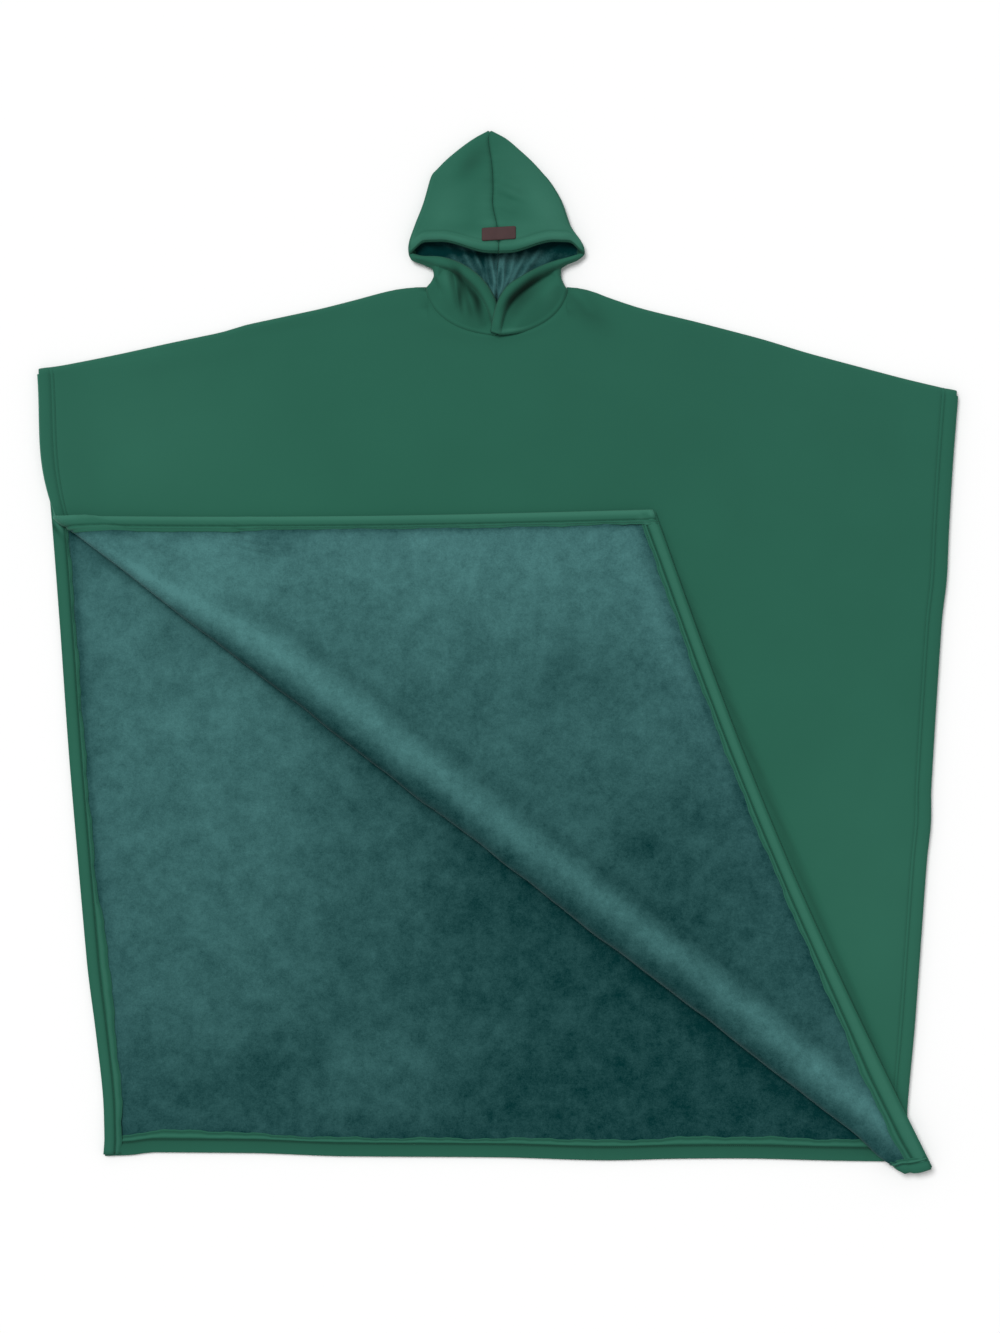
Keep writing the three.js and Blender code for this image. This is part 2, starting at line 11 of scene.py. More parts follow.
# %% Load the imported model
import bpy
import numpy as np
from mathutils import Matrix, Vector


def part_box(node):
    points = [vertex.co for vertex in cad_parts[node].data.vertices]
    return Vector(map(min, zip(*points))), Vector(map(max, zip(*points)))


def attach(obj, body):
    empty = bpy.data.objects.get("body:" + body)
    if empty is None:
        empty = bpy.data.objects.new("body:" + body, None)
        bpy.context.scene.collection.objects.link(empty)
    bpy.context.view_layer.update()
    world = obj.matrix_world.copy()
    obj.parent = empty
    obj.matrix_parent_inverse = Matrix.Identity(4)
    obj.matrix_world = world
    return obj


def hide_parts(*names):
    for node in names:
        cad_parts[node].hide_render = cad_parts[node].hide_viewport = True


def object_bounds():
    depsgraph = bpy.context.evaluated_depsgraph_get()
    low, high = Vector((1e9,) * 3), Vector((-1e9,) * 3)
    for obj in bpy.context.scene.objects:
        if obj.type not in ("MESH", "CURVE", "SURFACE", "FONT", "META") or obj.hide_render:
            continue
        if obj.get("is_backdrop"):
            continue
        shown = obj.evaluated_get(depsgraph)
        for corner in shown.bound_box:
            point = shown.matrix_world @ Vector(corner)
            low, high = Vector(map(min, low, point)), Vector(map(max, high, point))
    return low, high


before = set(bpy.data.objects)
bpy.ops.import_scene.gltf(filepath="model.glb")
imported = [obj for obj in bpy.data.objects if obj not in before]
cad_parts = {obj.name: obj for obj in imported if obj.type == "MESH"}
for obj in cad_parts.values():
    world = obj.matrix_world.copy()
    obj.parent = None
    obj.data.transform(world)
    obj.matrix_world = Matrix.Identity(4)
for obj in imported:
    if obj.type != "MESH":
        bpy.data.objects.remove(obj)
cad_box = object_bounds()
print("nodes:", len(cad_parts))

# %% [markdown]
# ## Small helpers
# Sizes are kept in tables with named columns, in metres. A table is read along one column by
# smooth curves that never swing past its rows, so a few rows give a round, calm shape.

# %% Tables and easing
MM = 0.001


def table(columns, *rows):
    """Names the columns of a small table of numbers."""
    return dict(zip(columns.split(), np.array(rows, float).T))


def waves(*rows):
    """Plane waves, whose headings are in degrees from the right."""
    return table("height length heading phase", *rows)


def ridges(*rows):
    """Creases: from where to where each one runs, how wide it is and how high."""
    return table("x0 y0 x1 y1 width height", *rows)


def patches(*rows):
    """Patches: where each one lies, its lengths along its heading and across, and its tone."""
    return table("x y long wide heading tone", *rows)


def through(places, values, at, level=False):
    """A smooth line through points: cubic pieces whose slope at each point is the harmonic mean of
    the slopes beside it, and zero where these differ in sign. Outside, the ends are held. With
    `level` the line also starts and ends level."""
    order = np.argsort(places)
    x, y = np.asarray(places, float)[order], np.asarray(values, float)[order]
    step, rise = np.diff(x), np.diff(y) / np.diff(x)
    both = rise[:-1] * rise[1:]
    mean = np.divide(2 * both, rise[:-1] + rise[1:], out=np.zeros_like(both), where=both > 0)
    slope = np.concatenate([rise[:1], mean, rise[-1:]])
    slope[[0, -1]] *= not level
    at = np.clip(at, x[0], x[-1])
    i = np.clip(np.searchsorted(x, at) - 1, 0, len(step) - 1)
    t, h = (at - x[i]) / step[i], step[i]
    ends = (1 + 2 * t) * (1 - t) ** 2 * y[i] + t**2 * (3 - 2 * t) * y[i + 1]
    return ends + h * (t * (1 - t) ** 2 * slope[i] - t**2 * (1 - t) * slope[i + 1])


def read(pairs, at):
    """Reads a table of two columns: the second one at places along the first."""
    return through(*pairs.values(), at)


def lerp(a, b, t):
    """From a to b, as t goes from 0 to 1."""
    return a + (b - a) * t


def smooth(x, low, high):
    """An S-shaped step, 0 below `low` and 1 above `high`."""
    t = np.clip((x - low) / (high - low), 0, 1)
    return t * t * (3 - 2 * t)


def bell(x, centre, width):
    """A hump 1 high that fades out on both sides: exp(-t^2), with t in widths from the centre."""
    return np.exp(-(((x - centre) / width) ** 2))


def dome(x, start, width, power):
    """A hump from 0 up to 1 and back to 0 over a width: sin(pi t)^power, flatter on top as the
    power falls."""
    return np.sin(np.pi * np.clip((x - start) / width, 0, 1)) ** power


def ripple(x, y, marks):
    """The sum of a table's plane waves, each height * sin(2 pi * distance / length + phase), with
    the distance measured along its heading."""
    total = np.zeros(np.broadcast(x, y).shape)
    for height, length, heading, phase in zip(*marks.values()):
        along = x * np.cos(np.radians(heading)) + y * np.sin(np.radians(heading))
        total += height * np.sin(2 * np.pi * along / length + phase)
    return total


def xyz(x, y, z):
    """Stacks three arrays of coordinates, stretched to one shape, into an array of points."""
    return np.stack(np.broadcast_arrays(x, y, z), axis=-1).astype(float)


def length_of(v):
    """The length of each vector in an array."""
    return np.linalg.norm(v, axis=-1)


def unit(v):
    """The same vectors with a length of 1. One without a length stays as it is."""
    return v / (np.linalg.norm(v, axis=-1, keepdims=True) + 1e-30)


# %% [markdown]
# ## Cloth as layers on a surface
# A panel is a sheet without thickness, made of one or more grids of points that are sewn where
# they share points. Each cloth fills a span along its normals, which point to the fleece side.
# So fleece, plush and hems keep clear of each other wherever the panel bends.

# %% Surfaces and layers
SEWN = 1e-7  # points closer than this are one


class Surface:
    """Grids of points joined into one sheet. Its normals are averaged from the faces round a
    point."""

    def __init__(self, grids, flip=False):
        stack = np.concatenate([g.reshape(-1, 3) for g in grids])
        same = np.round(stack / SEWN)
        _, first, place = np.unique(same, axis=0, return_index=True, return_inverse=True)
        self.points, place = stack[first], place.ravel()
        self.index, faces, start = [], [], 0
        for g in grids:
            count = g.shape[0] * g.shape[1]
            index = place[start : start + count].reshape(g.shape[:2])
            a, b, c, d = index[:-1, :-1], index[1:, :-1], index[1:, 1:], index[:-1, 1:]
            halves = [np.stack([a, b, c], -1), np.stack([a, c, d], -1)]
            faces += [half.reshape(-1, 3) for half in halves]
            self.index.append(index)
            start += count
        faces = np.concatenate(faces)
        f = faces[:, ::-1] if flip else faces
        self.faces = f[(f[:, 0] != f[:, 1]) & (f[:, 1] != f[:, 2]) & (f[:, 2] != f[:, 0])]
        a, b, c = (self.points[self.faces[:, k]] for k in range(3))
        across = np.cross(b - a, c - a)
        self.normals = np.zeros_like(self.points)
        for k in range(3):
            np.add.at(self.normals, self.faces[:, k], across)
        self.normals = unit(self.normals)

    def spread(self, values):
        """Takes one array of numbers for each grid and gives one number for each point."""
        out = np.zeros(len(self.points))
        for index, v in zip(self.index, values):
            out[index.ravel()] = np.broadcast_to(v, index.shape).ravel()
        return out

    def layer(self, low, high):
        """A closed wall from `low` to `high` along the normals: two copies of the sheet, the inner
        one turned over, and a strip round each open edge."""
        n = len(self.points)
        outer = self.points + self.normals * np.broadcast_to(high, n)[:, None]
        inner = self.points + self.normals * np.broadcast_to(low, n)[:, None]
        f = self.faces
        edges = np.concatenate([f[:, [0, 1]], f[:, [1, 2]], f[:, [2, 0]]])
        code, back = edges[:, 0] * n + edges[:, 1], edges[:, 1] * n + edges[:, 0]
        a, b = edges[~np.isin(code, back)].T
        walls = [np.stack([b, a, a + n], -1), np.stack([b, a + n, b + n], -1)]
        return np.concatenate([outer, inner]), np.concatenate([f, f[:, ::-1] + n, *walls])


# %% [markdown]
# A piece goes into Blender as a mesh in one step, with an optional number at each point that the
# material reads by name. Every piece rides on the cape's one body and names its finish.

# %% Pieces
finishes = {}


def piece(name, points, faces, slot, nodes=(), **marks):
    """Makes a smooth mesh of triangles, with one float attribute for each of `marks`. Numbers
    for one face of a layer are used for its other face too."""
    mesh = bpy.data.meshes.new(name)
    mesh.vertices.add(len(points))
    mesh.vertices.foreach_set("co", np.ascontiguousarray(points, np.float32).ravel())
    mesh.loops.add(faces.size)
    mesh.loops.foreach_set("vertex_index", faces.astype(np.int32).ravel())
    mesh.polygons.add(len(faces))
    mesh.polygons.foreach_set("loop_start", np.arange(0, faces.size, 3, dtype=np.int32))
    mesh.update(calc_edges=True)
    mesh.validate()
    mesh.shade_smooth()
    for mark, values in marks.items():
        attribute = mesh.attributes.new(mark, "FLOAT", "POINT")
        attribute.data.foreach_set("value", np.resize(values, len(points)).astype(np.float32))
    obj = bpy.data.objects.new(name, mesh)
    bpy.context.scene.collection.objects.link(obj)
    mesh.materials.append(finishes[slot])
    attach(obj, "root")
    if nodes:
        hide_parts(*nodes)
    print(f"{name}: {len(faces)} triangles")
    return obj


# %% [markdown]
# ## Finishes
# Fleece and plush are both brushed cloth, so neither has a gloss. What the eye reads is the nap:
# fibres that lean one way look lighter and the other way darker. A nap could be real hairs, but
# at the distance where a whole cape is seen it is a play of tone, so here it is soft noise in the
# colour and a fine bump, with a sheen for the fibre tips that catch light at a slant.

# %% Node helper
class Socket:
    """Wraps a shader socket, so that a sum on values adds its Math nodes."""

    def __init__(self, tree, link):
        self.tree, self.link = tree, link

    def math(self, operation, other, swap=False):
        values = (other, self) if swap else (self, other)
        return self.tree.add("ShaderNodeMath", {"operation": operation}, dict(enumerate(values)))

    def __add__(self, other):
        return self.math("ADD", other)

    def __sub__(self, other):
        return self.math("SUBTRACT", other)

    def __rsub__(self, other):
        return self.math("SUBTRACT", other, swap=True)

    def __mul__(self, other):
        return self.math("MULTIPLY", other)

    def __pow__(self, other):
        return self.math("POWER", other)

    def least(self, other):
        return self.math("MINIMUM", other)

    __radd__, __rmul__ = __add__, __mul__


class Tree:
    """One material's nodes. `add` takes a node's type, its settings and its sockets' values."""

    def __init__(self, name):
        self.material = bpy.data.materials.new(name)
        self.material.use_nodes = True
        self.nodes = self.material.node_tree.nodes
        self.links = self.material.node_tree.links
        self.nodes.clear()

    def add(self, kind, settings={}, sockets={}, out=0):
        node = self.nodes.new(kind)
        for key, value in settings.items():
            setattr(node, key, value)
        for key, value in sockets.items():
            if isinstance(value, Socket):
                self.links.new(value.link, node.inputs[key])
            else:
                node.inputs[key].default_value = value
        return Socket(self, node.outputs[out]) if node.outputs else node

    def place(self):
        return self.add("ShaderNodeTexCoord", out="Object")

    def mark(self, name):
        """A number that the piece's points carry under this name."""
        return self.add("ShaderNodeAttribute", {"attribute_name": name}, out="Fac")

    def noise(self, where, scale, detail=2.0, roughness=0.5):
        sockets = {"Vector": where, "Scale": scale, "Detail": detail, "Roughness": roughness}
        return self.add("ShaderNodeTexNoise", {}, sockets)

    def bump(self, height, strength, depth):
        sockets = {"Height": height, "Strength": strength, "Distance": depth}
        return self.add("ShaderNodeBump", {}, sockets)

    def tone(self, colour, factor):
        """A colour times a number, both of which may vary."""
        grey = self.add("ShaderNodeCombineXYZ", {}, {0: factor, 1: factor, 2: factor})
        return self.add("ShaderNodeVectorMath", {"operation": "MULTIPLY"}, {0: colour, 1: grey})

    def mixed(self, factor, a, b):
        """From one colour to another. The node's sockets go by number here, because its names
        stand for several kinds."""
        sockets = {0: factor, 6: (*a, 1), 7: (*b, 1)}
        return self.add("ShaderNodeMix", {"data_type": "RGBA"}, sockets, out=2)

    def finish(self, colour, roughness, normal, **constants):
        sockets = {"Base Color": colour, "Roughness": roughness, "Normal": normal}
        sockets.update({key.replace("_", " "): value for key, value in constants.items()})
        shader = self.add("ShaderNodeBsdfPrincipled", {}, sockets)
        self.add("ShaderNodeOutputMaterial", {}, {"Surface": shader})
        print(f"{self.material.name}: {len(self.nodes)} nodes")
        return self.material


# %% [markdown]
# The green fleece is a knit brushed and shorn short: an even, matte face with a faint cloudy tone
# and a grain of about a millimetre. Each piece may carry a `shade`, which paints light and shade
# into the colour: above nothing it is a painted highlight, paler, on rolls, lips and slopes that
# catch the light, and below nothing it is a painted shade, where cloth lies deep in a crease or in
# a shadow.

# %% Fleece
FLEECE_GREEN = (0.0205, 0.112, 0.073)
HIGHLIGHT_GREEN = (0.064, 0.228, 0.163)


def fleece():
    tree = Tree("fleece")
    where = tree.place()
    cloud = tree.noise(where, 7.0, 3.0)
    grain = tree.noise(where, 700.0, 2.0, 0.65)
    shade = tree.mark("shade")
    # shade paints light and shade: below nothing a painted shade darkens the green, above it a
    # painted highlight turns it paler
    tone = (0.90 + 0.12 * cloud + 0.08 * grain) * (shade.least(0.0) + 1)
    highlit = tree.mixed(shade, FLEECE_GREEN, HIGHLIGHT_GREEN)
    colour = tree.tone(highlit, tone)
    bump = tree.bump(grain, 0.30, 0.4 * MM)
    sheen = {"Sheen_Weight": 0.10, "Sheen_Roughness": 0.5, "Sheen_Tint": (0.45, 0.8, 0.65, 1)}
    return tree.finish(colour, 0.93, bump, Specular_IOR_Level=0.10, **sheen)


finishes["fleece"] = fleece()

# %% [markdown]
# The teal plush has a pile of nearly 3 mm, in brushed patches. A number on the mesh tells how much
# the pile leans towards the light there, and painted shade and painted highlights are added to it:
# shadows beside the hems and the fold, shade and light across the roll, and light and shade inside
# the hood. Noise breaks it into tufts. All its sizes, from a thumb's width down to a fibre, are
# about equally strong, as in any fur.

# %% Plush
PLUSH_DARK = (0.0012, 0.0275, 0.0285)
PLUSH_LIGHT = (0.076, 0.214, 0.211)


def plush():
    tree = Tree("plush")
    where = tree.place()
    nap = tree.mark("nap")
    tufts = tree.noise(where, 22.0, 5.0, 0.9)
    fibres = tree.noise(where, 420.0, 2.0, 0.9)
    ruffled = (tufts - 0.5) * 1.35 + (fibres - 0.5) * 0.55
    # The pile's lean, together with the painted shade and painted highlights that its number
    # carries.
    lean_and_shade = (nap + 0.1) * 0.9 + ruffled * (nap * 0.55 + 0.50)
    colour = tree.mixed(lean_and_shade, PLUSH_DARK, PLUSH_LIGHT)
    bump = tree.bump(tufts * 0.6 + fibres * 0.4, 0.5, 3 * MM)
    sheen = {"Sheen_Weight": 0.15, "Sheen_Roughness": 0.45, "Sheen_Tint": (0.55, 0.85, 0.85, 1)}
    return tree.finish(colour, 1.0, bump, Specular_IOR_Level=0.0, **sheen)


finishes["plush"] = plush()

# %% [markdown]
# The label is a patch of burgundy leather with a fine pebbled grain, darker in its pores. The
# stitches are polyester thread a shade lighter than the fleece.

# %% Leather and thread
BURGUNDY = (0.056, 0.0275, 0.028)
THREAD_GREEN = (0.030, 0.128, 0.088)


def leather():
    tree = Tree("label_leather")
    where = tree.place()
    cells = {"Vector": where, "Scale": 900.0}
    pebble = tree.add("ShaderNodeTexVoronoi", {"feature": "DISTANCE_TO_EDGE"}, cells)
    cloud = tree.noise(where, 120.0, 3.0)
    colour = tree.tone(BURGUNDY, 0.75 + 0.5 * cloud)
    bump = tree.bump(pebble**0.5, 0.5, 0.3 * MM)
    return tree.finish(colour, 0.62 + 0.2 * cloud, bump, Specular_IOR_Level=0.3)


def thread():
    tree = Tree("thread")
    where = tree.place()
    twist = tree.noise(where, 1500.0, 1.0)
    colour = tree.tone(THREAD_GREEN, 0.8 + 0.4 * twist)
    bump = tree.bump(twist, 0.3, 0.1 * MM)
    return tree.finish(colour, 0.7, bump, Specular_IOR_Level=0.3)


finishes["label_leather"] = leather()
thread_finish = thread()

# %% [markdown]
# ## The cut of the cape
# The front and back are nearly rectangles with a slanted shoulder. Their corners, the neck and the
# heights of the layers are those of the imported model, and the ends of its back's box are printed.

# %% Sizes
FLEECE, PLUSH, GAP = 1.6 * MM, 2.6 * MM, 0.3 * MM
SHELL_TOP = GAP / 2 + FLEECE
LINING_TOP = GAP / 2 + PLUSH
BACK_Z = SHELL_TOP
FRONT_Z = BACK_Z + 2 * LINING_TOP + GAP
TWO_HEMS = 2 * (FLEECE + GAP)
FLAP_LIFT = 2 * SHELL_TOP + 2 * GAP

LEFT_SLEEVE, RIGHT_SLEEVE = np.array([-0.746, 0.457]), np.array([0.748, 0.423])
BACK_LEFT, BACK_RIGHT = np.array([-0.639, -0.814]), np.array([0.655, -0.828])
FOLD_START, FOLD_END = np.array([-0.717, 0.219]), np.array([0.662, -0.842])
FLAP_TOP, FLAP_TAIL = np.array([0.254, 0.228]), np.array([0.704, -0.838])
NECK_HALF, NECK_Y, NECK_FRONT, NECK_BACK = 0.114, 0.592, 0.077, 0.022
HEM, TAIL_HEM = 0.028, 0.94
SHOULDER_ROLL = 0.008
SIDE_BOW, TOP_SAG, RIGHT_BOW, TAIL_SAG = 0.011, 0.005, 0.022, 0.004
FRONT_SLOPE, FLAP_SLOPE = (0.032, 0.080), (0.130, 0.220)

low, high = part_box("back_shell")
print("the back's box ends at x", round(low.x, 4), "and", round(high.x, 4))

# %% [markdown]
# No edge was drawn with a ruler. Each is straight in the cut, and wanders by a few millimetres
# as it lies: `bow` moves the edge outwards at a place along it.

# %% Bows of the edges
SHOULDER_BOWS = table(
    "x bow",
    (-0.746, 0.0020), (-0.700, -0.0010), (-0.610, -0.0022), (-0.530, -0.0018), (-0.455, -0.0022),
    (-0.400, 0.0015), (-0.300, 0.0015), (-0.240, 0.0035), (-0.170, 0.0068), (-0.115, 0.0030),
    (0.115, 0.0030), (0.150, 0.0042), (0.185, 0.0005), (0.240, -0.0025), (0.330, -0.0005),
    (0.420, 0.0000), (0.520, -0.0030), (0.640, -0.0030), (0.720, -0.0012), (0.748, 0.0005),
)
RIGHT_BOWS = table(
    "y bow",
    (-0.85, 0), (-0.78, 0), (-0.745, -0.003), (-0.60, 0), (-0.34, 0.001), (-0.28, 0.0035),
    (-0.22, 0.0), (0.05, -0.0015), (0.12, 0.002), (0.20, 0.0), (0.30, -0.001), (0.42, 0.0),
)
BACK_LEFT_BOWS = table(
    "y bow",
    (-0.83, 0.001), (-0.79, -0.005), (-0.72, -0.008), (-0.62, -0.005), (-0.50, 0.0), (-0.20, 0.001),
    (0.05, -0.002), (0.20, -0.003), (0.5, 0.0),
)
BOTTOM_BOWS = table(
    "x bow",
    (-0.65, 0.005), (-0.60, 0.003), (-0.56, -0.002), (-0.40, -0.0025), (-0.25, 0.001), (0.0, 0.0),
    (0.17, 0.003), (0.30, -0.001), (0.41, -0.0025), (0.55, -0.0005), (0.66, 0.0),
)
print("the shoulders wander by up to", abs(SHOULDER_BOWS["bow"]).max() / MM, "mm")

# %% Places across the cape
# Columns stand close together near both edges, where a hem is puffed and stitched, and round
# the neck, where equal angles of its ellipse follow the curve.
HEM_PLACES = [0, 1, 2.5, 4.5, 7, 10, 13, 15.5, 17, 18.2, 19.4, 20.6, 22, 23.2, 24.4, 25.8, 28]
EDGE = np.array([*HEM_PLACES, 31, 36, 44, 56]) * MM
HEM_COLUMNS = len(HEM_PLACES)


def columns_across(step):
    """Places from 0 at the left edge to 1 at the right one."""
    left, right = LEFT_SLEEVE[0], RIGHT_SLEEVE[0]
    neck = NECK_HALF * np.cos(np.radians(np.arange(0, 180.1, 6)))[::-1]
    body = lambda a, b: np.linspace(a, b, int(abs(b - a) / step) + 2)[1:-1]
    rows = [left + EDGE, body(left + EDGE[-1], -NECK_HALF), neck, body(NECK_HALF, right - EDGE[-1])]
    x = np.concatenate([*rows, right - EDGE[::-1]])
    return (x - left) / (right - left)


def top_edge(u, depth):
    """The shoulder seam, straight from the neck to the sleeve, with the neck's half ellipse cut
    out of it: y = neck - depth * sqrt(1 - (x / half width)^2)."""
    x = lerp(LEFT_SLEEVE[0], RIGHT_SLEEVE[0], u)
    sleeve = np.where(x < 0, -LEFT_SLEEVE[0], RIGHT_SLEEVE[0])
    sleeve_y = np.where(x < 0, LEFT_SLEEVE[1], RIGHT_SLEEVE[1])
    t = (abs(x) - NECK_HALF) / (sleeve - NECK_HALF)
    bow = read(SHOULDER_BOWS, x) * smooth(abs(x), NECK_HALF, 0.135)
    scoop = NECK_Y - depth * np.sqrt(np.clip(1 - (x / NECK_HALF) ** 2, 0, 1))
    return np.stack([x, np.where(in_neck(x), scoop, lerp(NECK_Y, sleeve_y, t) + bow)], -1)


def in_neck(x):
    return abs(x) < NECK_HALF - 1e-6


def left_of(a, b, p):
    """How far a point lies to the left of the line from a to b: the cross product of the line
    and the way to the point, over the line's length."""
    way = b - a
    return (way[0] * (p[..., 1] - a[1]) - way[1] * (p[..., 0] - a[0])) / np.hypot(*way)


def inside_back(p):
    """The distance from a point to the nearest of the back's three hemmed edges."""
    sides = [(LEFT_SLEEVE, BACK_LEFT), (BACK_LEFT, BACK_RIGHT), (BACK_RIGHT, RIGHT_SLEEVE)]
    return np.min([left_of(a, b, p) for a, b in sides], axis=0)


def height_at(p, slope):
    """The front lies up on the hems near the edge, and comes down to the plush further in."""
    down = np.clip((inside_back(p) - slope[0]) / (slope[1] - slope[0]), 0, 1)
    return FRONT_Z + TWO_HEMS * (1 - down)


def bowed_sides(p, u):
    """Moves the outer columns by the bows of the right edge."""
    right = read(RIGHT_BOWS, p[..., 1]) * u**12
    return p + np.stack([right, 0 * right], -1)


# %% [markdown]
# ## The front, turned over
# One thread of the front runs from the shoulder down to the turned fold, round its soft roll and
# up to the hem, which now lies on the front. The cloth is too thick for a sharp fold: just past
# the edge it stands up as a round roll, then comes down on the layer below.

# %% The profile across the roll
FOLD = table(
    "reach rise lift",
    (0.040, 0.0000, 0.0), (0.016, 0.0008, 0.0), (0.004, 0.0040, 0.1), (0.000, 0.0095, 0.4),
    (0.004, 0.0155, 0.8), (0.018, 0.0220, 1.0), (0.042, 0.0240, 1.0), (0.070, 0.0180, 1.0),
    (0.100, 0.0060, 1.0), (0.130, 0.0000, 1.0),
)
FOLD_SIZE = table(
    "across size",
    (0, 0.35), (0.12, 1), (0.76, 1), (0.90, 0.48), (1, 0.12),
)
FOLD_EDGE = 3
HEM_WIDTHS = table(
    "across width",
    (0.00, 0.0260), (0.10, 0.0240), (0.50, 0.0245), (0.70, 0.0270), (0.80, 0.0320), (0.87, 0.0360),
    (0.95, 0.0360), (1.00, 0.0280),
)
FOLD_WAVES = waves(
    (0.0012, 0.41, 0, 0.4),
    (0.0008, 0.17, 0, 2.0),
    (0.0006, 0.093, 0, 5.1),
)


print("the roll stands", (FOLD["rise"].max() / MM).round(1), "mm high")


def fold_line(u):
    """The line that the front is turned over on, from the left edge to the right."""
    along = u * (1 + 0.1 * (1 - u))
    way = FOLD_END - FOLD_START
    normal = np.array([-way[1], way[0]]) / np.hypot(*way)
    line = FOLD_START + way * along[:, None]
    wave = ripple(along * np.hypot(*way), 0 * along, FOLD_WAVES) * np.sin(np.pi * along)
    sag = 0.006 * bell(along, 0.975, 0.02)
    return line + normal * (wave - sag)[:, None]


def flap_edge(u):
    """The bottom hem after the turn, which is the flap's right edge, bowed outwards."""
    way = FLAP_TAIL - FLAP_TOP
    side = np.array([way[1], -way[0]]) / np.hypot(*way)
    return FLAP_TOP + way * u[:, None] + side * RIGHT_BOW * np.sin(np.pi * u)[:, None]


# %% The front as a grid of points
ROLL_ROWS, LOWER_ROWS, BELOW_ROWS, FOLD_ROWS, FLAP_ROWS = 7, 64, 9, 44, 66


def slant(way, a, b):
    """How squarely threads cross the line from a to b: 1 straight across, 0 along it."""
    line = (b - a) / np.linalg.norm(b - a)
    return abs(way @ [-line[1], line[0]]) / length_of(way)


def front_grid(u):
    """Points down every thread at once. A row is a distance along the thread: below the fold it is
    measured from the shoulder, above it from the fold, and across the roll it is read from FOLD.
    Near the tail the threads above the fold are short, so the roll is squeezed to leave the hem
    its room."""
    size = read(FOLD_SIZE, u)
    top, turn, end = top_edge(u, NECK_FRONT), fold_line(u), flap_edge(u)
    down, up = turn - top, end - turn
    down_length, up_length = length_of(down), length_of(up)
    down_slant, up_slant = slant(down, FOLD_START, FOLD_END), slant(up, FOLD_START, FOLD_END)

    def lower(s):
        p = top + down * (s / down_length)[..., None]
        p[..., 0] -= SIDE_BOW * np.sin(np.pi * (s / down_length) ** 1.5) * (1 - u) ** 10
        return bowed_sides(p, u)

    def upper(s):
        p = turn + up * (s / up_length)[..., None]
        p[..., 1] -= TOP_SAG * np.sin(np.pi * s / up_length) * (1 - u) ** 4
        p[..., 1] -= TAIL_SAG * np.sin(np.pi * (s / up_length) ** 0.8) * smooth(u, 0.965, 1)
        return p

    angle = np.radians(np.linspace(0, 90, ROLL_ROWS))[:, None]
    p = lower(SHOULDER_ROLL * (1 - np.cos(angle)) + 0 * u)
    foot = np.where(in_neck(top[:, 0]), FRONT_Z, FLEECE + GAP)
    crest = np.where(in_neck(top[:, 0]), FRONT_Z, height_at(p, FRONT_SLOPE))
    shoulder = xyz(p[..., 0], p[..., 1], lerp(foot, crest, np.sin(angle)))

    steps = np.r_[0, np.cumsum(np.hypot(np.diff(FOLD["reach"]), np.diff(FOLD["rise"])))]
    below = np.linspace(0, steps[FOLD_EDGE], BELOW_ROWS + 1)[:-1, None]
    t = np.linspace(0, 1, FOLD_ROWS - BELOW_ROWS)[:, None]
    settled = lerp(t, 1 - (1 - t) ** 1.9, smooth(u, 0.50, 0.68))
    way = np.concatenate([below + 0 * u, lerp(steps[FOLD_EDGE], steps[-1], settled)])
    reach = through(steps, FOLD["reach"], way)
    rise, lift = (through(steps, FOLD[k], way, level=True) for k in ("rise", "lift"))
    on_lower = way <= steps[FOLD_EDGE]
    ends = down_length - FOLD["reach"][0] * size / down_slant
    t = np.linspace(0, 1, LOWER_ROWS + 1)[1:-1, None]
    p = lower(lerp(SHOULDER_ROLL, ends, t))
    body = xyz(p[..., 0], p[..., 1], height_at(p, FRONT_SLOPE))

    hem = read(HEM_WIDTHS, u) / slant(up, FLAP_TOP, FLAP_TAIL)
    roll_reach = size / up_slant
    room = (up_length - 1.04 * hem) / (FOLD["reach"][-1] * roll_reach)
    roll_reach = roll_reach * np.clip(room, 0.35, 1)
    start = FOLD["reach"][-1] * roll_reach

    p_low = lower(down_length - reach * size / down_slant)
    p_up = upper(reach * roll_reach)
    p = np.where(on_lower[..., None], p_low, p_up)
    lying = lerp(height_at(p, FRONT_SLOPE), height_at(p, FLAP_SLOPE) + FLAP_LIFT, lift)
    roll = xyz(p[..., 0], p[..., 1], lying + size * rise)

    hem = np.minimum(hem, (up_length - start) * TAIL_HEM)
    t = np.linspace(0, 1, FLAP_ROWS)[1:-1, None]
    inner = lerp(start, up_length - hem, t)
    rows = up_length - hem * (EDGE[:HEM_COLUMNS][::-1, None] / HEM)
    p = upper(np.concatenate([inner, rows]))
    flap = xyz(p[..., 0], p[..., 1], height_at(p, FLAP_SLOPE) + FLAP_LIFT)
    return np.concatenate([shoulder, body, roll, flap])


front_u = columns_across(0.0165)
front = front_grid(front_u)
first_fold = ROLL_ROWS + LOWER_ROWS - 1
first_flap = first_fold + FOLD_ROWS
print("front grid", front.shape, "reaches z", front[..., 2].max().round(4))

# %% [markdown]
# ## Smoothed by hand
# Cloth that has been smoothed out still has faint swells, and a few soft creases where it was
# folded away or pulled. Each crease is one row of a table: where it starts and ends, how wide it
# is, and how high it stands (a trough is negative).

# %% Swells and creases
def creases(p, marks):
    """Sums soft ridges: height * bell(distance from the line / width), faded at the line's ends."""
    total = np.zeros(p.shape[:-1])
    for x0, y0, x1, y1, width, height in zip(*marks.values()):
        way = np.array([x1 - x0, y1 - y0])
        length = np.hypot(*way)
        along = ((p[..., 0] - x0) * way[0] + (p[..., 1] - y0) * way[1]) / length**2
        off = left_of(np.array([x0, y0]), np.array([x1, y1]), p)
        fade = smooth(along, -0.15, 0.25) * (1 - smooth(along, 0.7, 1.15))
        total += height * bell(off, 0, width) * fade
    return total


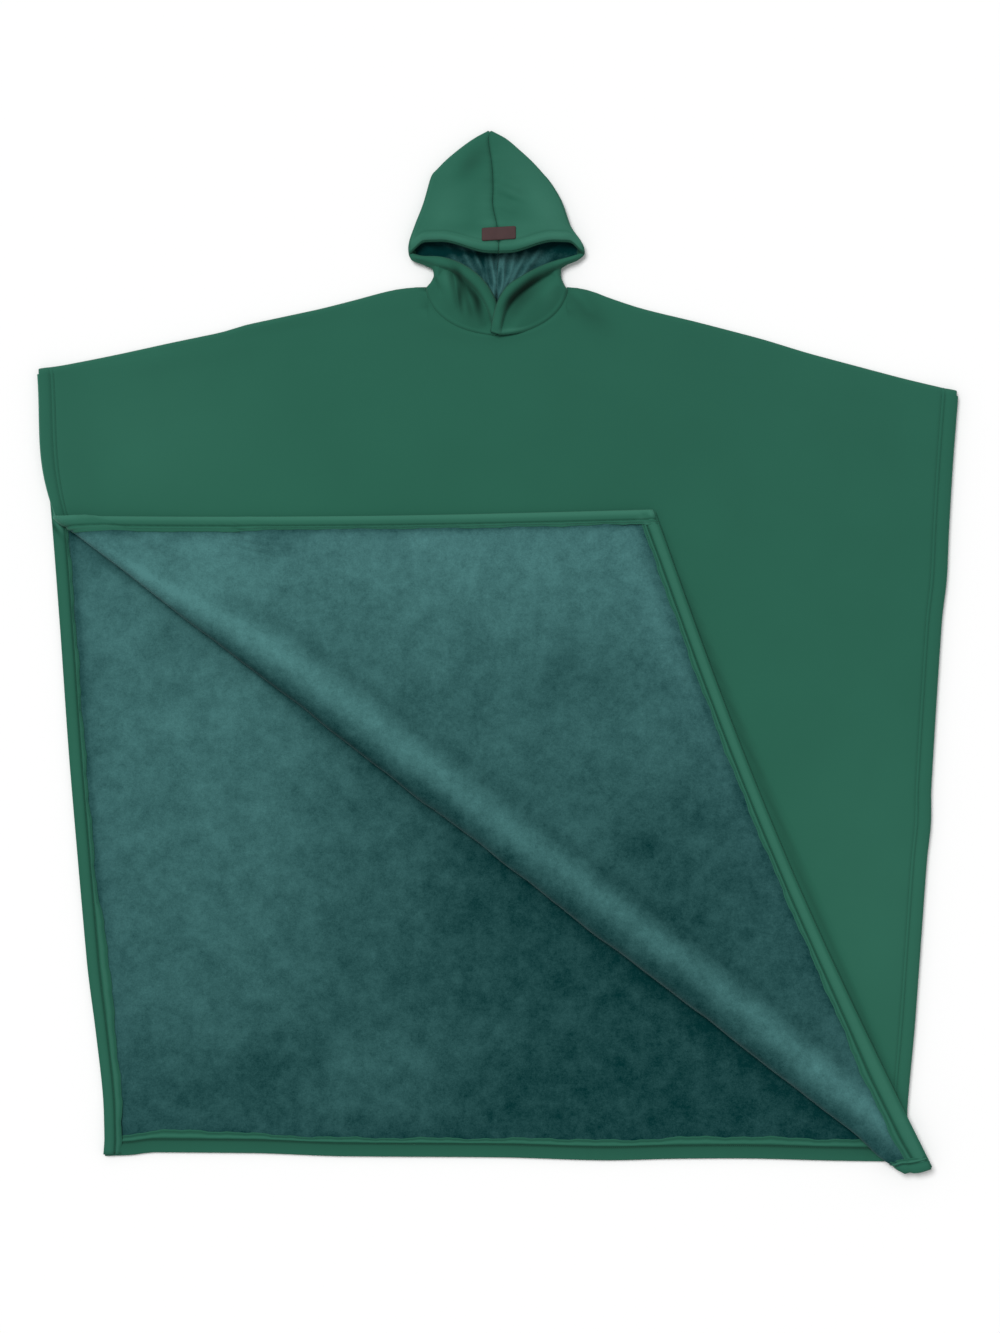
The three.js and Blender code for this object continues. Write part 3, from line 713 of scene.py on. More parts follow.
def patched(p, marks):
    """Sums soft patches: tone * bell of the distance measured in each one's own lengths."""
    tone = np.zeros(p.shape[:-1])
    for x, y, long, wide, heading, t in zip(*marks.values()):
        c, s = np.cos(np.radians(heading)), np.sin(np.radians(heading))
        a = ((p[..., 0] - x) * c + (p[..., 1] - y) * s) / long
        b = ((p[..., 1] - y) * c - (p[..., 0] - x) * s) / wide
        tone += t * np.exp(-a * a - b * b)
    return tone


SWELLS = waves(
    (0.0007, 0.52, 20, 0.3),
    (0.0005, 0.33, 75, 1.9),
    (0.0004, 0.21, 130, 4.2),
    (0.00025, 0.125, 40, 0.9),
)
FRONT_CREASES = ridges(
    (0.122, 0.582, 0.158, 0.560, 0.005, 0.0022),
    (0.125, 0.560, 0.190, 0.500, 0.010, 0.0014),
    (-0.130, 0.578, -0.230, 0.548, 0.010, 0.0014),
    (0.480, 0.455, 0.700, 0.405, 0.009, 0.0012),
    (-0.60, 0.46, -0.40, 0.50, 0.014, 0.0012),
)
FLAP_CREASES = ridges(
    (-0.425, 0.205, -0.385, 0.150, 0.006, -0.0035),
    (-0.405, 0.212, -0.360, 0.160, 0.010, 0.0030),
    (-0.10, -0.02, 0.12, -0.16, 0.030, 0.0015),
    (0.20, -0.10, 0.33, -0.05, 0.020, -0.0012),
)

plan = front[..., :2]
rows = np.arange(len(front))[:, None]
on_flap = smooth(rows, first_fold + 8, first_flap - 8)
lying = ripple(front[..., 0], front[..., 1], SWELLS) * smooth(inside_back(plan), 0.03, 0.12)
below_fold = rows < first_fold
lift = lying * (1 - on_flap) + creases(plan, FRONT_CREASES) * below_fold
lift = lift + on_flap * (lying + 0.001 + creases(plan, FLAP_CREASES))
front[..., 2] += lift * (rows >= ROLL_ROWS)
front_sheet = Surface([front])
front_normal = front_sheet.normals[front_sheet.index[0]]
print("swells and creases lift the front by", (lift.min() / MM).round(2), "mm or more,")
print("and by at most", (lift.max() / MM).round(2), "mm")

# %% [markdown]
# ## Fleece of the front
# Outside, a hem shows only as a puffed band along the edge, and two rows of stitches sunk in
# behind it. The neck edge rises a little against the hood's seam.

# %% Front shell
STITCH_ROWS = (0.0182, 0.0240)
SUNK_OUTSIDE, NECK_ROLL = 0.0012, 0.0012


def hem_relief(d, puff):
    """The outside of a hem at a distance from its edge: a soft swelling, then two sunk rows."""
    swell = puff * dome(d, 0, 0.0175, 0.8)
    sunk = sum(bell(d, row, 0.0014) for row in STITCH_ROWS)
    between = 0.3 * puff * bell(d, np.mean(STITCH_ROWS), 0.0018)
    return swell + between - SUNK_OUTSIDE * sunk


def from_sides(u):
    """The distance of each column from the nearer side of its panel."""
    return np.minimum(u, 1 - u) * (RIGHT_SLEEVE[0] - LEFT_SLEEVE[0])


PUFF, NECK_MEAN = 0.0018, 0.085
edge_run = length_of(np.diff(front, axis=0))
from_end = np.concatenate([np.cumsum(edge_run[::-1], axis=0)[::-1], np.zeros((1, front.shape[1]))])
sides = hem_relief(from_sides(front_u)[None, :], PUFF)
bottom = hem_relief(from_end, PUFF)
neck_ring = np.hypot(plan[..., 0] / NECK_HALF, (plan[..., 1] - NECK_Y) / NECK_FRONT) - 1
neck_off = neck_ring * NECK_MEAN
neck_roll = NECK_ROLL * (bell(neck_off, 0.0048, 0.0028) - bell(neck_off, 0.0, 0.0018))
neck_roll = neck_roll * (plan[..., 1] < NECK_Y) * below_fold
relief = np.maximum(sides + bottom + neck_roll, -SUNK_OUTSIDE)
# Painted light and shade on the front's fleece: lighter at the left and low at the right, darker in
# the middle, and a shaded crease beside a lit ridge by the right shoulder.
FRONT_SHADES = patches(
    (-0.57, 0.34, 0.20, 0.14, 0, 0.10),
    (0.22, 0.36, 0.16, 0.16, 0, -0.045),
    (0.62, -0.42, 0.14, 0.28, 0, 0.09),
    (0.145, 0.556, 0.045, 0.018, -40, -0.22),
    (0.138, 0.574, 0.018, 0.006, -40, 0.22),
    (-0.07, 0.512, 0.050, 0.012, -20, -0.05),
)
# A painted shadow on the front, along the right edge of the turned flap.
beside_flap = -left_of(FLAP_TOP, FLAP_TAIL, plan)
flap_shadow = bell(beside_flap, 0.008, 0.008) * smooth(-plan[..., 1], -FLAP_TOP[1], -FLAP_TOP[1] + 0.05)
front_shade = (patched(plan, FRONT_SHADES) - 0.28 * flap_shadow) * below_fold
print("shade of the front from", front_shade.min().round(2), "to", front_shade.max().round(2))
relief[:ROLL_ROWS] *= np.linspace(0, 1, ROLL_ROWS)[:, None]
points, faces = front_sheet.layer(GAP / 2, SHELL_TOP + front_sheet.spread([relief]))
shade = front_sheet.spread([front_shade])
piece("front_shell_cloth", points, faces, "fleece", ["front_shell"], shade=shade)

# %% [markdown]
# ## The plush's nap
# The pile was brushed by the hand that laid the cape out: it is light at the upper left and dark
# towards the lower right. Across the roll, light and shade are painted in: painted shade on its
# steep side, a painted highlight along its crest and painted shade in the hollow behind it, and
# next to the hems a painted shadow. Long soft patches between are where a palm has passed, and a
# few darker ones are painted shadow.

# %% Nap of the plush
FLAP_TONE = table(
    "y tone",
    (0.20, 0.68), (0.12, 0.63), (0.03, 0.50), (-0.07, 0.37), (-0.17, 0.33), (-0.30, 0.21),
    (-0.42, 0.14), (-0.55, 0.18), (-0.65, 0.30), (-0.76, 0.36),
)
BACK_TONE = table(
    "y tone",
    (0.10, 0.58), (-0.10, 0.53), (-0.30, 0.48), (-0.42, 0.43), (-0.50, 0.38), (-0.57, 0.33),
    (-0.65, 0.26), (-0.72, 0.19), (-0.80, 0.16),
)
BACK_FADE = table(
    "x share",
    (-0.70, 0.80), (-0.60, 1.00), (-0.42, 1.00), (-0.34, 0.88), (-0.25, 0.60), (-0.15, 0.48),
    (-0.08, 0.36), (0.00, 0.18), (0.10, 0.10), (0.60, 0.06),
)
ROLL_SCALE = table(
    "along scale",
    (0, 0.15), (0.08, 0.28), (0.14, 0.5), (0.20, 0.8), (0.30, 1), (0.80, 1), (0.92, 0.86), (1, 0.6),
)
# Patches of the nap where a palm has passed, lighter or darker. Some darker ones are painted
# shadow, as the narrow one under the flap's top hem at the upper left.
NAP_AND_SHADE_PATCHES = patches(
    (-0.46, 0.13, 0.10, 0.06, 0, 0.14),
    (-0.345, 0.185, 0.05, 0.018, -20, -0.12),
    (-0.335, 0.10, 0.05, 0.03, -60, -0.08),
    (-0.64, 0.15, 0.04, 0.02, -30, -0.06),
    (-0.20, 0.08, 0.04, 0.03, 20, -0.08),
    (-0.10, 0.17, 0.06, 0.03, 0, 0.06),
    (0.27, 0.05, 0.12, 0.028, -68, 0.16),
    (-0.05, 0.03, 0.04, 0.03, 60, -0.10),
    (0.12, -0.04, 0.09, 0.05, -10, -0.12),
    (0.22, -0.11, 0.07, 0.03, 0, 0.06),
    (0.25, -0.32, 0.04, 0.03, -40, -0.12),
    (0.31, -0.27, 0.04, 0.03, 30, -0.08),
    (0.45, -0.33, 0.10, 0.03, -68, 0.10),
    (-0.53, 0.00, 0.05, 0.035, -60, -0.12),
    (-0.60, 0.03, 0.04, 0.04, 0, 0.08),
    (-0.64, -0.04, 0.04, 0.05, 0, -0.06),
    (-0.50, -0.13, 0.07, 0.04, 30, 0.05),
    (-0.20, -0.68, 0.13, 0.075, 10, 0.18),
    (-0.36, -0.66, 0.05, 0.05, 0, -0.10),
    (-0.10, -0.74, 0.05, 0.04, 0, 0.06),
    (0.00, -0.63, 0.06, 0.04, 10, 0.08),
    (-0.55, -0.56, 0.04, 0.03, 20, 0.08),
    (-0.375, 0.168, 0.024, 0.024, 0, -0.34),
    (-0.310, 0.155, 0.030, 0.015, 0, 0.10),
    (-0.190, 0.165, 0.045, 0.028, -20, -0.10),
    (-0.640, 0.193, 0.055, 0.007, -3, -0.25),
    (0.260, 0.105, 0.050, 0.014, -72, -0.22),
    (0.110, -0.020, 0.080, 0.022, 55, -0.10),
    (0.140, -0.320, 0.060, 0.024, -38, 0.16),
    (0.320, -0.550, 0.050, 0.020, -38, -0.16),
    (0.460, -0.460, 0.022, 0.020, 0, 0.10),
    (-0.290, -0.170, 0.050, 0.028, -30, 0.10),
    (-0.090, -0.240, 0.060, 0.012, -38, -0.12),
    (-0.060, -0.430, 0.055, 0.035, 60, -0.10),
    (-0.400, -0.700, 0.110, 0.035, 12, -0.12),
    (-0.300, -0.660, 0.040, 0.030, 0, -0.06),
    (0.020, -0.550, 0.030, 0.030, 0, 0.08),
    (0.120, -0.600, 0.040, 0.030, 0, 0.08),
    (0.640, -0.770, 0.045, 0.010, -62, -0.18),
    (-0.080, -0.020, 0.050, 0.012, 60, 0.10),
)


def along_fold(p):
    way = FOLD_END - FOLD_START
    return ((p - FOLD_START) @ way) / (way @ way)


def nap_of_flap(p):
    """Light at the top, dark lower down, as the nap lies. Across the roll the pile gets painted
    shade on the steep side and along the fold's edge near its start, a painted highlight along its
    crest, and painted shade again in the hollow behind it."""
    t = along_fold(p)
    scale = read(ROLL_SCALE, t)
    off = left_of(FOLD_START, FOLD_END, p) / scale
    base = read(FLAP_TONE, p[..., 1])
    strength = smooth(t, 0.10, 0.22)
    steep_shade = 1 - smooth(off, 0.004, 0.036)
    crest = 0.36 * bell(off, 0.050, 0.022) * smooth(t, 0.04, 0.10)
    hollow_shade = 0.08 * bell(off, 0.088, 0.014) * strength
    edge = 0.22 * bell(off, 0, 0.006) * smooth(t, 0.03, 0.08) * (1 - smooth(t, 0.30, 0.50))
    return lerp(base, 0.05, 0.78 * steep_shade * strength) + (crest - hollow_shade) - edge


def beside_hem(off):
    """The share of its tone that the pile keeps next to a hem: a painted shadow along the hem's
    inner edge.
    """
    return 1 - 0.50 * bell(off, HEM, 0.0065) - 0.12 * bell(off, HEM + 0.006, 0.010)


front_off = np.minimum(from_sides(front_u)[None, :], from_end)
front_nap = (nap_of_flap(plan) + patched(plan, NAP_AND_SHADE_PATCHES)) * beside_hem(front_off)
lining_rows = slice(ROLL_ROWS - 1, None)
front_inside = Surface([front[lining_rows]])
print("nap from", front_nap.min().round(2), "to", front_nap.max().round(2))

# %% Front lining
def pile(p):
    """Tufts of the pile, a fraction of a millimetre high, from crossed short waves."""
    x, y = p[..., 0], p[..., 1]
    return 0.00025 * np.sin(x * 310 + 2 * np.sin(y * 90)) * np.sin(y * 270 + 2 * np.sin(x * 70))


under = -LINING_TOP - front_inside.spread([0.0003 + pile(plan[lining_rows])])
points, faces = front_inside.layer(under, -GAP / 2)
nap = front_inside.spread([front_nap[lining_rows]])
piece("front_lining_cloth", points, faces, "plush", ["front_lining"], nap=nap)

# %% [markdown]
# ## The back
# The back lies flat under everything. Only its plush shows, in the corner that the turned front
# leaves bare.

# %% Back panel
def back_grid(u, rows):
    """Straight threads from the shoulder, or the nape, down to the bottom hem."""
    top = top_edge(u, NECK_BACK)
    top[:, 1] += np.where(in_neck(top[:, 0]), 0, BACK_Z)
    bottom = lerp(BACK_LEFT, BACK_RIGHT, u[:, None])
    bottom[:, 1] -= read(BOTTOM_BOWS, bottom[:, 0])
    length = length_of(bottom - top)
    hem = EDGE[:HEM_COLUMNS][::-1, None]
    s = np.concatenate([np.linspace(0, 1, rows)[:-1, None] * (length - HEM), length - hem])
    p = bowed_sides(lerp(top, bottom, (s / length)[..., None]), u)
    left = read(BACK_LEFT_BOWS, p[..., 1]) * (1 - u) ** 12
    return xyz(p[..., 0] - left, p[..., 1], BACK_Z)


back_u = columns_across(0.0175)
back = back_grid(back_u, 84)
back_sheet = Surface([back], flip=True)
back_plan = back[..., :2]
bared = smooth(-left_of(FOLD_START, FOLD_END, back_plan), 0.0, 0.06)
relief = hem_relief(from_sides(back_u)[None, :], 0.0)
points, faces = back_sheet.layer(GAP / 2, back_sheet.spread([SHELL_TOP + np.minimum(relief, 0)]))
piece("back_shell_cloth", points, faces, "fleece", ["back_shell"])

FIRST_LINED = 2  # the plush starts this many rows below the neck
lined = back[FIRST_LINED:]
lined_plan = lined[..., :2]
to_bottom = length_of(lined[-1:] - lined)
back_off = np.minimum(from_sides(back_u)[None, :], to_bottom)
beyond_fold = left_of(FOLD_START, FOLD_END, lined_plan)
# The back's plush: its nap, with a painted shadow beside the hems and along the turned fold,
# stronger near the fold's start.
back_nap = beside_hem(back_off) * (
    read(BACK_TONE, lined_plan[..., 1]) * read(BACK_FADE, lined_plan[..., 0])
    + patched(lined_plan, NAP_AND_SHADE_PATCHES)
    - 0.10 * bell(beyond_fold, -0.004, 0.024)
    - 0.26 * bell(beyond_fold, -0.003, 0.007) * (1 - smooth(along_fold(lined_plan), 0.30, 0.50))
)
back_inside = Surface([lined], flip=True)
swell = 0.0006 + ripple(lined[..., 0], lined[..., 1], SWELLS) * 0.4 + pile(lined_plan)
swell = bared[FIRST_LINED:] * smooth(back_off, HEM + 0.008, HEM + 0.03) * swell
under = -LINING_TOP - back_inside.spread([np.maximum(swell, 0)])
points, faces = back_inside.layer(under, -GAP / 2)
nap = back_inside.spread([back_nap])
piece("back_lining_cloth", points, faces, "plush", ["back_lining"], nap=nap)

# %% [markdown]
# ## Hems
# At every edge the fleece is carried round the raw edges and turned back on the plush. The
# section is a J: round at the nose, puffed over the doubled cloth, sunk at the two stitch rows
# and thin at its raw end, which wanders because it was folded by hand and pulled by the thread.

# %% The hem's section
HEM_LOW, HEM_HIGH = LINING_TOP + GAP, LINING_TOP + GAP + FLEECE
PUCKER, PUCKER_STEP, SUNK, SQUEEZED, RAW_EDGE = 0.00022, 0.017, 0.0011, 0.0014, 0.0005
WANDER = waves(
    (0.0011, 0.140, 0, 0.2),
    (0.0008, 0.052, 0, 1.4),
    (0.0004, 0.021, 0, 3.3),
)


print("a hem is", HEM / MM, "mm wide, and its cloth ends", round(HEM_HIGH / MM, 2), "mm up")


def along(points):
    """Distance run along a line of points."""
    return np.r_[0, np.cumsum(length_of(np.diff(points, axis=0)))]


def from_outer_edge(points):
    """Distance run across each station, from the edge inwards."""
    steps = length_of(np.diff(points, axis=1))
    return np.concatenate([np.zeros((len(points), 1)), np.cumsum(steps, axis=1)], axis=1)


def closer(points, spacing):
    """Where to read a grid's rows again so that they stand evenly along its first column: the
    distances, the rows before them, and the shares of the way to the next row."""
    run = along(points[:, 0])
    at = np.linspace(0, run[-1], max(int(run[-1] / spacing), 2))
    i = np.clip(np.searchsorted(run, at) - 1, 0, len(run) - 2)
    t = ((at - run[i]) / (run[i + 1] - run[i]))[:, None, None]
    return at, i, t


def hem_mesh(
    points, normals, raise_by=0.0, wider=0.0, puff=0.0020, spacing=0.006, nose=0.0030, phase=0.0,
    narrow=False,
):
    """A J-section along an edge. `points` are stations by places across, from the edge inwards,
    and `wider` moves the inner end of each station. A narrow hem keeps the width of its stations
    and shows no stitches."""
    if spacing:
        at, i, t = closer(points, spacing)
        p, n = lerp(points[i], points[i + 1], t), unit(lerp(normals[i], normals[i + 1], t))
    else:
        at, p, n = along(points[:, -1]), points, normals
    up = -n
    if np.ndim(raise_by):
        raise_by = np.interp(at, along(points[:, 0]), raise_by)[:, None]
    if np.ndim(wider):
        wider = np.interp(at, along(points[:, 0]), wider)[:, None]
    inward, across = unit(p[:, 1] - p[:, 0]), unit(np.gradient(p, axis=1))
    d = from_outer_edge(p)
    if not narrow:
        d = d * HEM / d[:, -1:]
    wander = ripple(at + phase, 0 * at, WANDER)[:, None] + wider
    ease = smooth(d, 0.018, 0.028)
    p = p + across * (wander * ease)[..., None]
    pucker = PUCKER * np.sin(at * 2 * np.pi / PUCKER_STEP + 3 * np.sin(at * 31 + phase))[:, None]
    swell = puff * dome(d, -0.002, 0.0195, 0.7)
    sunk = sum(bell(d, row, 0.0015) for row in STITCH_ROWS) * (not narrow)
    top = HEM_HIGH + raise_by + swell + pucker * (d < 0.026) - SUNK * sunk
    top = top + SQUEEZED * bell(d, np.mean(STITCH_ROWS), 0.0020) * (not narrow)
    top = top - (FLEECE - RAW_EDGE) * smooth(d / d[:, -1:], 0.93, 1.0)
    outer = p + up * top[..., None]
    inner = p + up * np.asarray(HEM_LOW + raise_by)[..., None]
    edge, edge_up = p[:, 0], up[:, 0]
    angle = np.radians(np.linspace(-90, 90, 11))[None, :, None]
    low, high = -SHELL_TOP, top[:, :1, None]
    centre, half = (high + low) / 2, (high - low) / 2
    ring = lambda reach, half: (
        edge[:, None]
        - inward[:, None] * (reach * np.cos(angle) ** 0.75)
        + edge_up[:, None] * (centre + half * np.sin(angle))
    )
    outside = ring(nose, half)
    inside = ring(np.minimum(nose - FLEECE, GAP * 2), half - FLEECE * 0.98)
    loop = np.concatenate([outside, outer[:, 1:], inner[:, :0:-1], inside[:, ::-1]], axis=1)
    round_nose = np.zeros((len(p), outside.shape[1]))
    from_edge = np.concatenate([round_nose, d[:, 1:], d[:, :0:-1], round_nose], axis=1)
    return (*closed_sweep(loop), from_edge.ravel())


def closed_sweep(loops):
    """A tube through rings of points, with strips that close both ends. Its faces are turned
    outwards, which its volume, the sum of a . (b x c), tells by its sign."""
    k, m = loops.shape[:2]
    i, j = np.meshgrid(np.arange(k - 1), np.arange(m), indexing="ij")
    a, b = i * m + j, i * m + (j + 1) % m
    quads = np.stack([a, b, b + m, a + m], -1).reshape(-1, 4)
    faces = np.concatenate([quads[:, [0, 1, 2]], quads[:, [0, 2, 3]]])
    half = m // 2
    j = np.arange(half - 1)
    cap = np.stack([j, m - 1 - j, m - 2 - j, j + 1], -1)
    caps = np.concatenate([cap[:, [0, 1, 2]], cap[:, [0, 2, 3]]])
    points = loops.reshape(-1, 3)
    faces = np.concatenate([faces, caps, caps[:, ::-1] + (k - 1) * m])
    a, b, c = (points[faces[:, n]] for n in range(3))
    volume = np.einsum("ij,ij->i", a, np.cross(b, c)).sum()
    faces = faces[(faces[:, 0] != faces[:, 1]) & (faces[:, 1] != faces[:, 2])]
    return points, faces if volume > 0 else faces[:, ::-1]


# %% [markdown]
# ## Stitches
# A stitch is a small lens of thread, pulled into the cloth at both ends. One lens is made, then
# copied along each row as an array: about 3 mm apart, the step of a cover-stitch machine.

# %% Rows of stitches
STITCH, STITCH_STEP, THREAD = 0.0024, 0.0032, 0.00042
LENS = np.array([(-1, 0, -0.6), (0, -1, 0.1), (1, 0, -0.6), (0, 1, 0.1), (0, 0, 1)])
LENS_FACES = np.array([(0, 1, 4), (1, 2, 4), (2, 3, 4), (3, 0, 4), (1, 0, 3), (1, 3, 2)])


def at_distance(at, run, rows):
    """Rows of a line read at distances along it."""
    return np.stack([np.interp(at, run, column) for column in rows.T], -1)


def stitches(line, up):
    """Lenses along a line of points: each vertex is centre + along * a + side * b + up * c."""
    run = along(line)
    at = np.arange(STITCH_STEP, run[-1] - STITCH_STEP, STITCH_STEP)
    centre, ahead = at_distance(at, run, line), at_distance(at + STITCH / 2, run, line)
    lift, way = unit(at_distance(at, run, up)), unit(ahead - centre)
    side = np.cross(lift, way)
    a, b, c = (LENS * [STITCH / 2, THREAD, THREAD]).T[..., None]
    points = centre[:, None] + way[:, None] * a + side[:, None] * b + lift[:, None] * c
    faces = LENS_FACES[None] + len(LENS) * np.arange(len(at))[:, None, None]
    return points.reshape(-1, 3), faces.reshape(-1, 3)


def joined(parts):
    """Several meshes as one. Each starts with its points and faces."""
    points, faces = list(zip(*parts))[:2]
    start = np.cumsum([0] + [len(p) for p in points[:-1]])
    return np.concatenate(points), np.concatenate([f + s for f, s in zip(faces, start)])


def thread_piece(name, parts):
    """Stitches as one piece, in the finish of thread instead of the cloth's."""
    points, faces = joined(parts)
    obj = piece(name, points, faces, "fleece")
    obj.data.materials.clear()
    obj.data.materials.append(thread_finish)


def line_across(points, normals, distance, height):
    """The line at a distance from the edge, raised to a height on the plush side."""
    d = from_outer_edge(points)
    d = d * HEM / d[:, -1:]
    j = np.clip((d < distance).sum(1) - 1, 0, d.shape[1] - 2)
    k = np.arange(len(points))
    t = np.clip((distance - d[k, j]) / (d[k, j + 1] - d[k, j]), 0, 1)[:, None]
    p, n = lerp(points[k, j], points[k, j + 1], t), unit(lerp(normals[k, j], normals[k, j + 1], t))
    return p - n * height, -n


# %% Hems of the body
BEDDED = 0.0006
LAP = FLEECE + 2 * GAP + BEDDED
HEM_TONES_AT = np.array([0, 0.005, 0.009, 0.015, 0.0185, 0.0225, 0.0256, 0.028])


def lap_over(count, rows):
    """How far each station is raised: nothing, then a soft climb onto the other hem."""
    place = np.arange(count)
    return LAP * smooth(place, count - 1 - rows - 3, count - 1 - rows)


# Tones across a hem, at the places of HEM_TONES_AT: painted shade in the stitch grooves, and
# painted highlights on the puffed band, on the ridge between the rows and at the raw end. TURNED_UP
# also has a painted highlight along its outer edge, and UNDER_LIGHT is darker over most of its
# width.
PLAIN = (-0.02, 0.04, 0.06, 0.02, -0.42, 0.34, -0.20, 0.12)
TURNED_UP = (0.42, 0.34, 0.16, 0.10, -0.12, 0.24, 0.02, 0.26)
TURNED_SIDE = (-0.04, 0.24, 0.24, 0.12, -0.38, 0.20, -0.16, 0.26)
UNDER_LIGHT = (-0.02, -0.08, -0.14, -0.22, -0.55, 0.20, -0.30, 0.10)
FLAP_TOP_WIDER = table(
    "x more",
    (-0.72, 0.006), (-0.50, 0.006), (-0.42, 0.000), (-0.30, -0.003), (-0.20, -0.002), (0.00, 0.000),
    (0.26, 0.000),
)
BACK_LEFT_WIDER = table(
    "y more",
    (-0.80, 0.003), (-0.70, 0.005), (-0.60, 0.006), (-0.52, 0.009), (-0.45, 0.005), (-0.38, -0.001),
    (-0.20, -0.002), (0.20, -0.004),
)
BOTTOM_WIDER = table(
    "x more",
    (-0.60, 0.003), (-0.50, 0.006), (-0.42, 0.003), (-0.36, 0.000), (0.00, 0.000), (0.10, 0.003),
    (0.20, 0.002), (0.35, 0.005), (0.60, 0.004),
)
# Spots of painted light and shade: lit tufts with shade between them where the hem ends meet at the
# flap's corner, and a lit ridge beside a painted shadow where the fold begins at the left.
HEM_LIGHT_AND_SHADE_SPOTS = patches(
    (0.2480, 0.2340, 0.0055, 0.0035, 10, 0.30),
    (0.2525, 0.2230, 0.0045, 0.0035, 60, 0.34),
    (0.2330, 0.2160, 0.0060, 0.0030, 20, 0.28),
    (0.2440, 0.2070, 0.0050, 0.0030, -60, 0.26),
    (0.2400, 0.2240, 0.0040, 0.0030, 0, -0.25),
    (0.2540, 0.2150, 0.0035, 0.0030, 0, -0.25),
    (-0.7145, 0.2060, 0.0150, 0.0024, -55, 0.45),
    (-0.7195, 0.2010, 0.0150, 0.0026, -55, -0.50),
)


def body_hem(name, points, normals, phase, lap=0.0, tones=PLAIN, wider=0.0):
    """A hem along the first column of a grid, and the stitches of its rows on both faces."""
    cut = slice(None, HEM_COLUMNS)
    p, n = points[:, cut], normals[:, cut]
    hem, faces, off = hem_mesh(p, n, lap, wider, phase=phase)
    # Painted light and shade across the hem's width and at its spots.
    shade = through(HEM_TONES_AT, tones, off) + patched(hem[:, :2], HEM_LIGHT_AND_SHADE_SPOTS)
    piece(name + "_cloth", hem, faces, "fleece", [name], shade=shade)
    rows = []
    for d in STITCH_ROWS:
        inside, up = line_across(p, n, d, HEM_HIGH - BEDDED)
        rows.append(stitches(inside + up * np.broadcast_to(lap, len(p))[:, None], up))
        outside, up = line_across(p, n, d, -SHELL_TOP + BEDDED)
        rows.append(stitches(outside, -up))
    thread_piece(name + "_stitches", rows)


def across(grid):
    """A grid turned so that its bottom edge comes first."""
    return grid[::-1].transpose(1, 0, 2)


p, n = front[lining_rows], front_normal[lining_rows]
lap, long_lap = lap_over(len(p), HEM_COLUMNS), lap_over(len(p), HEM_COLUMNS + 20)
wider = read(FLAP_TOP_WIDER, p[:, 0, 0])
body_hem("front_hem_left", p, n, 0.1, lap, TURNED_UP, wider)
body_hem("front_hem_right", p[:, ::-1], n[:, ::-1], 0.7, long_lap)
body_hem("front_hem_bottom", across(p), across(n), 1.3, BEDDED, TURNED_SIDE)

p, n = lined, back_sheet.normals[back_sheet.index[0]][FIRST_LINED:]
wider = read(BACK_LEFT_WIDER, p[:, 0, 1])
body_hem("back_hem_left", p, n, 2.1, lap_over(len(p), HEM_COLUMNS), wider=wider)
body_hem("back_hem_right", p[:, ::-1], n[:, ::-1], 2.9)
short_of_side = slice(None, -HEM_COLUMNS + 1)
p, n = across(p)[short_of_side], across(n)[short_of_side]
wider = read(BOTTOM_WIDER, p[:, 0, 0])
body_hem("back_hem_bottom", p, n, 3.7, tones=UNDER_LIGHT, wider=wider)

# %% [markdown]
# ## The hood
# The hood lies on its own back too: each half runs from the centre seam on top, over the side
# fold, to the layer below. Its mouth gapes. The lower lips are the hood's front edges, which
# cross at the throat, the right one on the left, and are sewn into the neck.

# %% Sections and rims
HOOD = table(
    "y left right seam fold crown",
    (0.846, -0.0165, -0.0070, -0.01175, 0.0022, 0.0000),
    (0.834, -0.0380, 0.0150, -0.01400, 0.0035, 0.0015),
    (0.815, -0.0640, 0.0375, -0.01200, 0.0050, 0.0040),
    (0.797, -0.0850, 0.0570, -0.00900, 0.0060, 0.0070),
    (0.783, -0.0985, 0.0700, -0.00750, 0.0065, 0.0080),
    (0.775, -0.1060, 0.0770, -0.00680, 0.0068, 0.0088),
    (0.766, -0.1095, 0.0850, -0.00650, 0.0070, 0.0090),
    (0.748, -0.1145, 0.0970, -0.00630, 0.0075, 0.0100),
    (0.729, -0.1200, 0.1070, -0.00700, 0.0080, 0.0110),
    (0.690, -0.1350, 0.1210, 0.00000, 0.0090, 0.0130),
    (0.664, -0.1435, 0.1385, 0.00300, 0.0090, 0.0140),
    (0.656, -0.1445, 0.1420, 0.00300, 0.0090, 0.0140),
    (0.648, -0.1440, 0.1428, 0.00300, 0.0090, 0.0140),
    (0.638, -0.1395, 0.1325, 0.00200, 0.0085, 0.0140),
    (0.630, -0.1200, 0.1140, 0.00100, 0.0082, 0.0140),
    (0.622, -0.1050, 0.1045, 0.00050, 0.0078, 0.0140),
    (0.612, -0.1030, 0.1040, 0.00000, 0.0070, 0.0140),
    (0.600, -0.1080, 0.1080, 0.00000, 0.0062, 0.0140),
    (0.592, -0.1150, 0.1120, 0.00000, 0.0058, 0.0140),
)
SIGN = {"left": -1, "right": 1}
HOOD_TOP, LIP_Y, NECK_SIDE_Y = 0.846, 0.648, 0.592
LIP_RISE, EAR_SHARE = 0.019, 0.10
